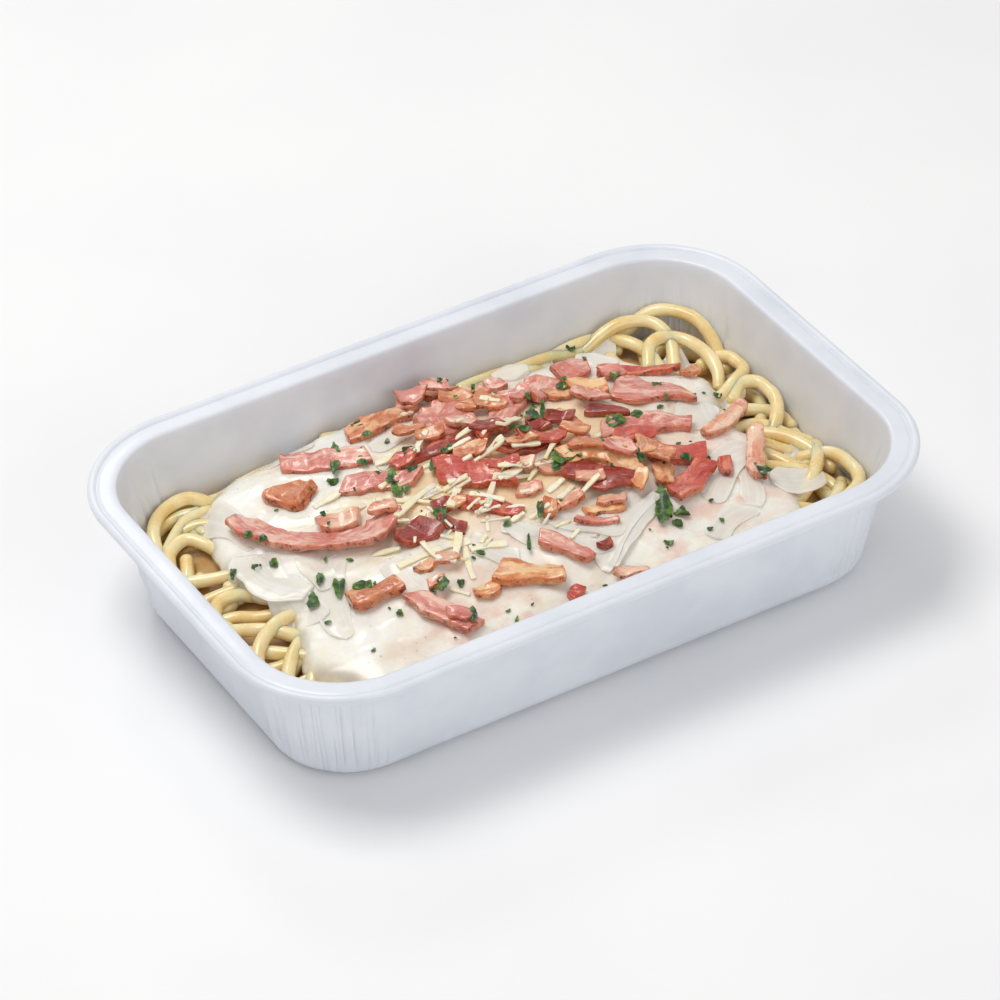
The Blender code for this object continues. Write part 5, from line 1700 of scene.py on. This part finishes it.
@dataclass
class OnionSlices:
    """The onion, laid under the bacon: the larger slices, and thin sheets that drape over the sauce."""

    platter: Platter
    cut: Cut = field(default_factory=lambda: Cut(
        steps=6, along=0.5, sides=30, squareness=3.0, thinness=0.5, ragged=0.10, wave=0.30, crinkle=0.05,
        rounding=0.2, seed=37, slant=0.3, uneven=0.15))
    sheet_thick: float = 0.25
    edge_lift: float = 0.4

    def build(self) -> None:
        """Make every slice that is a node of its own, then the sheets."""
        lumps = Lumps(self.cut.seed)
        finish = OnionFinish().material()
        for number, strip in enumerate(ONION, 1):
            node = f"onion_{number:02d}"
            rings, grain, rim = self.cut.rings(strip, lumps, 17.3 * number)
            rings = self.platter.lay(rings, node, 0.6)
            made = grained(rings, grain, rim)
            self.platter.tray.serve([made], f"onion_slice_{number:02d}", finish, "onion", node)
        soft = self.platter.tops.softened(0.9)
        ends = PhotoCamera().onto(np.array(SHEETS)[:, :4].reshape(-1, 2), soft).reshape(-1, 2, 2)
        sheets = [self.sheet(start, end, sheet[4], number * 1.9, soft, lumps)
                  for number, (sheet, (start, end)) in enumerate(zip(SHEETS, ends))]
        for sheet in sheets:
            self.platter.tops.raise_to(sheet.points)
        self.platter.tray.serve(sheets, "onion_sheets", finish, "onion")

    def sheet(self, start: Array, end: Array, width: float, offset: float, soft: PlanMap,
              lumps: Lumps) -> Surface:
        """One thin sheet draped over what is below, its long edges curled up a little.

        Its plan is a bowed band that narrows to both ends. Each place takes its
        level from the map below, plus the square of its share across times the
        edge's lift, and the second face lies one thickness lower.

        Args:
            start: plan place of one end.
            end: plan place of the other.
            width: its full width.
            offset: a number of its own that varies its form.
            soft: the softened map of what lies below.
            lumps: the noise that ripples it.

        Returns:
            The sheet's skin.
        """
        length = float(np.linalg.norm(end - start))
        share = np.linspace(0, 1, max(12, round(length / 0.5)))[:, None]
        v = np.linspace(-1, 1, 15)[None]
        way = (end - start) / length
        side = np.array((-way[1], way[0]))
        away = np.abs(2 * share - 1)
        narrowed = np.sqrt(np.clip(1 - away ** 7, 0.0, 1)) * (1 + 0.14 * np.sin(share * 7 + offset))
        half = width / 2 * narrowed + 0.15
        bow = (0.25 - (share - 0.5) ** 2) * length * 0.5 * math.sin(offset * 2.7)
        shift = half * v + bow
        along = share * length + 0.35 * half * v * np.sin(offset * 5)
        plan = start + along[..., None] * way + shift[..., None] * side
        ground = soft.at(plan[..., 0], plan[..., 1])
        ripple = lumps.at(stacked(along, shift, offset * 7.0), 4.0, 2)
        edge = np.abs(v) ** 2.5 * (0.5 + 0.5 * np.sin(share * 5 + offset + np.sign(v)))
        level = ground + 0.25 + self.edge_lift * edge + 0.12 * ripple
        upper = np.concatenate((plan, level[..., None]), -1)
        rings = np.concatenate((upper, upper[:, ::-1] - UP * self.sheet_thick), 1)
        grain = stacked(along + offset * 9, half * v, 0.0)
        rim = np.maximum(smoothstep(np.abs(v), 0.75, 1.0), smoothstep(away, 0.88, 1.0))
        grain, rim = (np.concatenate((part, part[:, ::-1]), 1) for part in (grain, rim))
        return grained(rings, grain, rim)


@dataclass
class GratedCheese:
    """Shreds of hard cheese, straight or lightly bowed, laid on what is below."""

    tops: PlanMap
    tray: PressedTray
    broader: float = 1.05
    roundness: float = 0.28
    extra: int = 46
    heap: Span = (488.0, 490.0)
    spread: Span = (52.0, 34.0)
    short_turn: Span = (-0.7, 0.9)
    short_half: Span = (1.2, 3.2)
    short_thick: Span = (0.6, 1.3)
    seed: int = 41

    def shred(self, start: Array, end: Array, thick: float, offset: float) -> Surface:
        """One shred: a rounded square carried along a shallow arc, set down on its highest support.

        Args:
            start: plan place of one end.
            end: plan place of the other.
            thick: its section.
            offset: a number of its own that varies its form.

        Returns:
            The shred's skin.
        """
        length = float(np.linalg.norm(end - start))
        share = np.linspace(-0.5, 0.5, 13)
        way = (end - start) / length
        bow = (share ** 2 - 0.08) * length * 0.12 * math.sin(offset * 3.1)
        plan = (start + end) / 2 + share[:, None] * length * way + bow[:, None] * (-way[1], way[0])
        ground = self.tops.at(plan[:, 0], plan[:, 1])
        slope, level = np.polyfit(share, ground, 1)
        line = level + slope * share
        line = line + np.clip(np.percentile(ground - line, 70), 0, 0.6)
        middle = 0.85 * line + 0.15 * smoothed_along(ground, 2.5) + 0.12
        path = np.column_stack((plan, middle))
        heading = unit(np.gradient(path, axis=0))
        across = unit(np.cross(UP, heading))
        stand = np.cross(heading, across)
        turn_round = np.linspace(0, 2 * np.pi, 12, endpoint=False) + math.pi / 12
        u, v = squarish(turn_round, self.roundness)
        half = thick / 2 * (1 - 0.12 * np.abs(2 * share) ** 12) * (1 + 0.16 * np.sin(share * 7 + offset))
        flat = min(0.6, 0.55 / thick)
        section = across[:, None] * u[None, :, None] + stand[:, None] * flat * v[None, :, None]
        rings = path[:, None] + half[:, None, None] * section
        return skin(rings).facing_out()

    def build(self) -> Item:
        """Make the cheese as one piece: the shreds that show best, then short ones round the heap."""
        draw = np.random.default_rng(self.seed)
        view = PhotoCamera()
        ends = view.onto(np.array(SHREDS)[:, :4].reshape(-1, 2), self.tops).reshape(-1, 2, 2)
        parts = [self.shred(start, end, self.broader * shred[4], number * 1.7)
                 for number, (shred, (start, end)) in enumerate(zip(SHREDS, ends))]
        middles = view.onto(draw.normal(self.heap, self.spread, (self.extra, 2)), self.tops)
        for number, middle in enumerate(middles):
            angle = draw.uniform(*self.short_turn)
            reach = draw.uniform(*self.short_half) * np.array((math.cos(angle), math.sin(angle)))
            thick = draw.uniform(*self.short_thick)
            parts.append(self.shred(middle - reach, middle + reach, thick, number * 2.3))
        return self.tray.serve(parts, "cheese_shreds", CheeseFinish().material(), "cream")


@dataclass
class ChoppedParsley:
    """Flakes of parsley, thin, notched and curled."""

    tops: PlanMap
    tray: PressedTray
    thick: float = 0.14
    extra: int = 60
    pixels_to_mm: float = 4.79
    foreshortening: float = 0.66
    larger: float = 1.15
    crumbs_x: Span = (-52, 58)
    crumbs_y: Span = (-36, 34)
    crumb_size: Span = (0.7, 1.8)
    crumb_slim: Span = (0.45, 0.8)
    seed: int = 43

    def flake(self, x: float, y: float, turn: float, length: float, width: float, offset: float) -> Surface:
        """One flake: a wavy disc whose outline has lobes, closed by a second face just below.

        Args:
            x: plan place of its middle.
            y: plan place of its middle.
            turn: its direction in degrees.
            length: its length.
            width: its width.
            offset: a number of its own that varies its form.

        Returns:
            The flake's skin.
        """
        angle = np.linspace(0, 2 * np.pi, 26, endpoint=False)
        lobes = 0.88 + 0.10 * np.cos(3 * angle + offset) + 0.07 * np.cos(7 * angle + 2 * offset)
        notch = 0.03 * np.sin(11 * angle + offset)
        reach = np.array((0.3, 0.6, 0.85, 1.0))[:, None] * (lobes + notch)[None]
        u = reach * np.cos(angle) * length / 2
        v = reach * np.sin(angle) * width / 2
        way = math.radians(turn)
        px = x + u * math.cos(way) - v * math.sin(way)
        py = y + u * math.sin(way) + v * math.cos(way)
        ground = self.tops.at(px, py)
        rest = 0.2 * ground + 0.8 * np.percentile(ground, 75)
        curl = 0.16 * v ** 2 / width * math.sin(offset) + 0.12 * np.sin(2.2 * u + offset) + 0.10 * reach ** 2
        height = rest + 0.24 + curl * 1.5
        upper = np.stack((px, py, height + self.thick / 2), -1)
        lower = upper - UP * self.thick
        made = skin(np.concatenate((lower, upper[::-1])))
        made.values["rim"] = with_poles(np.concatenate((reach, reach[::-1])))
        return made.facing_out()

    def build(self) -> Item:
        """Make the parsley as one piece: the flakes that show best, then crumbs of it."""
        draw = np.random.default_rng(self.seed)
        view = PhotoCamera()
        parts = []
        places = view.onto(np.array(FLAKES)[:, :2], self.tops)
        for number, ((_, _, across, up), (x, y)) in enumerate(zip(FLAKES, places)):
            length = self.larger * (across / self.pixels_to_mm)
            width = self.larger * (up / self.pixels_to_mm / self.foreshortening)
            parts.append(self.flake(x, y, view.azimuth, length, width, number * 1.3))
        for number in range(self.extra):
            x, y = draw.uniform(*self.crumbs_x), draw.uniform(*self.crumbs_y)
            size = draw.uniform(*self.crumb_size)
            turn, slim = draw.uniform(0, 180), draw.uniform(*self.crumb_slim)
            parts.append(self.flake(x, y, turn, size, size * slim, number * 0.9))
        return self.tray.serve(parts, "parsley_flakes", ParsleyFinish().material(), "onion")


@dataclass(frozen=True)
class Lamp:
    """A square soft light that faces the food, its place and size in metres and its power in watts."""

    name: str
    place: Triple
    size: float
    power: float
    tint: Colour

    def hang(self, aim: Vector) -> None:
        """Hang the light so that it faces a place."""
        data = bpy.data.lights.new(self.name, "AREA")
        data.size, data.energy, data.color = self.size, self.power, self.tint
        item = bpy.data.objects.new(self.name, data)
        bpy.context.scene.collection.objects.link(item)
        item.location = self.place
        item.rotation_euler = (aim - Vector(self.place)).to_track_quat("-Z", "Y").to_euler()


@dataclass
class Studio:
    """The pale floor, the soft lights and the camera."""

    view: PhotoCamera = PhotoCamera()
    floor_half: float = 2500.0
    floor_drop: float = 0.05
    far_limit: float = 50.0
    aim: Triple = (0, 0, 0.02)
    surroundings: float = 0.48
    lamps: tuple[Lamp, ...] = (
        Lamp("overhead", (-0.20, 0.20, 0.84), 0.42, 3.7, (1.0, 0.985, 0.965)),
        Lamp("glint", (0.16, 0.70, 0.60), 0.16, 0.6, (1.0, 0.99, 0.97)),
        Lamp("front_fill", (0.05, -1.0, 0.5), 0.6, 2.3, (0.98, 0.985, 1.0)),
    )

    def floor(self) -> None:
        """Lay the floor just under the tray."""
        half = self.floor_half
        points = np.array(((-half, -half, 0), (half, -half, 0), (half, half, 0), (-half, half, 0)), float)
        sheet = Surface(points - UP * self.floor_drop, np.array([[0, 1, 2, 3]]), np.zeros((0, 3), int))
        sheet.piece("table_top", PaleFloor().material())

    def camera(self) -> None:
        """Set the camera that took the photograph."""
        side, top, back = (Vector(axis) for axis in self.view.axes())
        data = bpy.data.cameras.new("photo_view")
        data.lens = self.view.lens
        data.sensor_width = self.view.sensor
        data.clip_end = self.far_limit
        item = bpy.data.objects.new("photo_view", data)
        bpy.context.scene.collection.objects.link(item)
        turn = Matrix((side, top, back)).transposed().to_4x4()
        eye = Vector(self.view.target) + back * self.view.distance
        item.matrix_world = Matrix.Translation(eye * MM) @ turn
        bpy.context.scene.camera = item

    def light(self) -> None:
        """Hang the lights and set the pale surroundings."""
        for lamp in self.lamps:
            lamp.hang(Vector(self.aim))
        world = bpy.data.worlds.new("studio")
        world.use_nodes = True
        background = world.node_tree.nodes["Background"]
        background.inputs["Color"].default_value = (1, 1, 1, 1)
        background.inputs["Strength"].default_value = self.surroundings
        bpy.context.scene.world = world
        bpy.context.scene.view_settings.view_transform = "Standard"

    def build(self) -> None:
        """Set the stage."""
        self.floor()
        self.camera()
        self.light()


def main() -> None:
    """Build the pieces from the tray up, each laid on those before it."""
    logging.basicConfig(level=logging.INFO, format="%(name)s: %(message)s")
    Studio().build()
    tray = PressedTray()
    tray.build()
    edge = sauce_edge(tray)
    noodles = NoodleHeap(tray, edge).build()
    sauce = CreamBlanket(edge, noodles)
    platter = Platter(sauce.map(), tray)
    OnionSlices(platter).build()
    cover = Rashers(platter).build()
    sauce.wells = PlanMap(PRESSED_UP * cover.softened(1.0).grid)
    sauce.build()
    GratedCheese(platter.tops, tray).build()
    ChoppedParsley(platter.tops, tray).build()


if __name__ == "__main__":
    main()
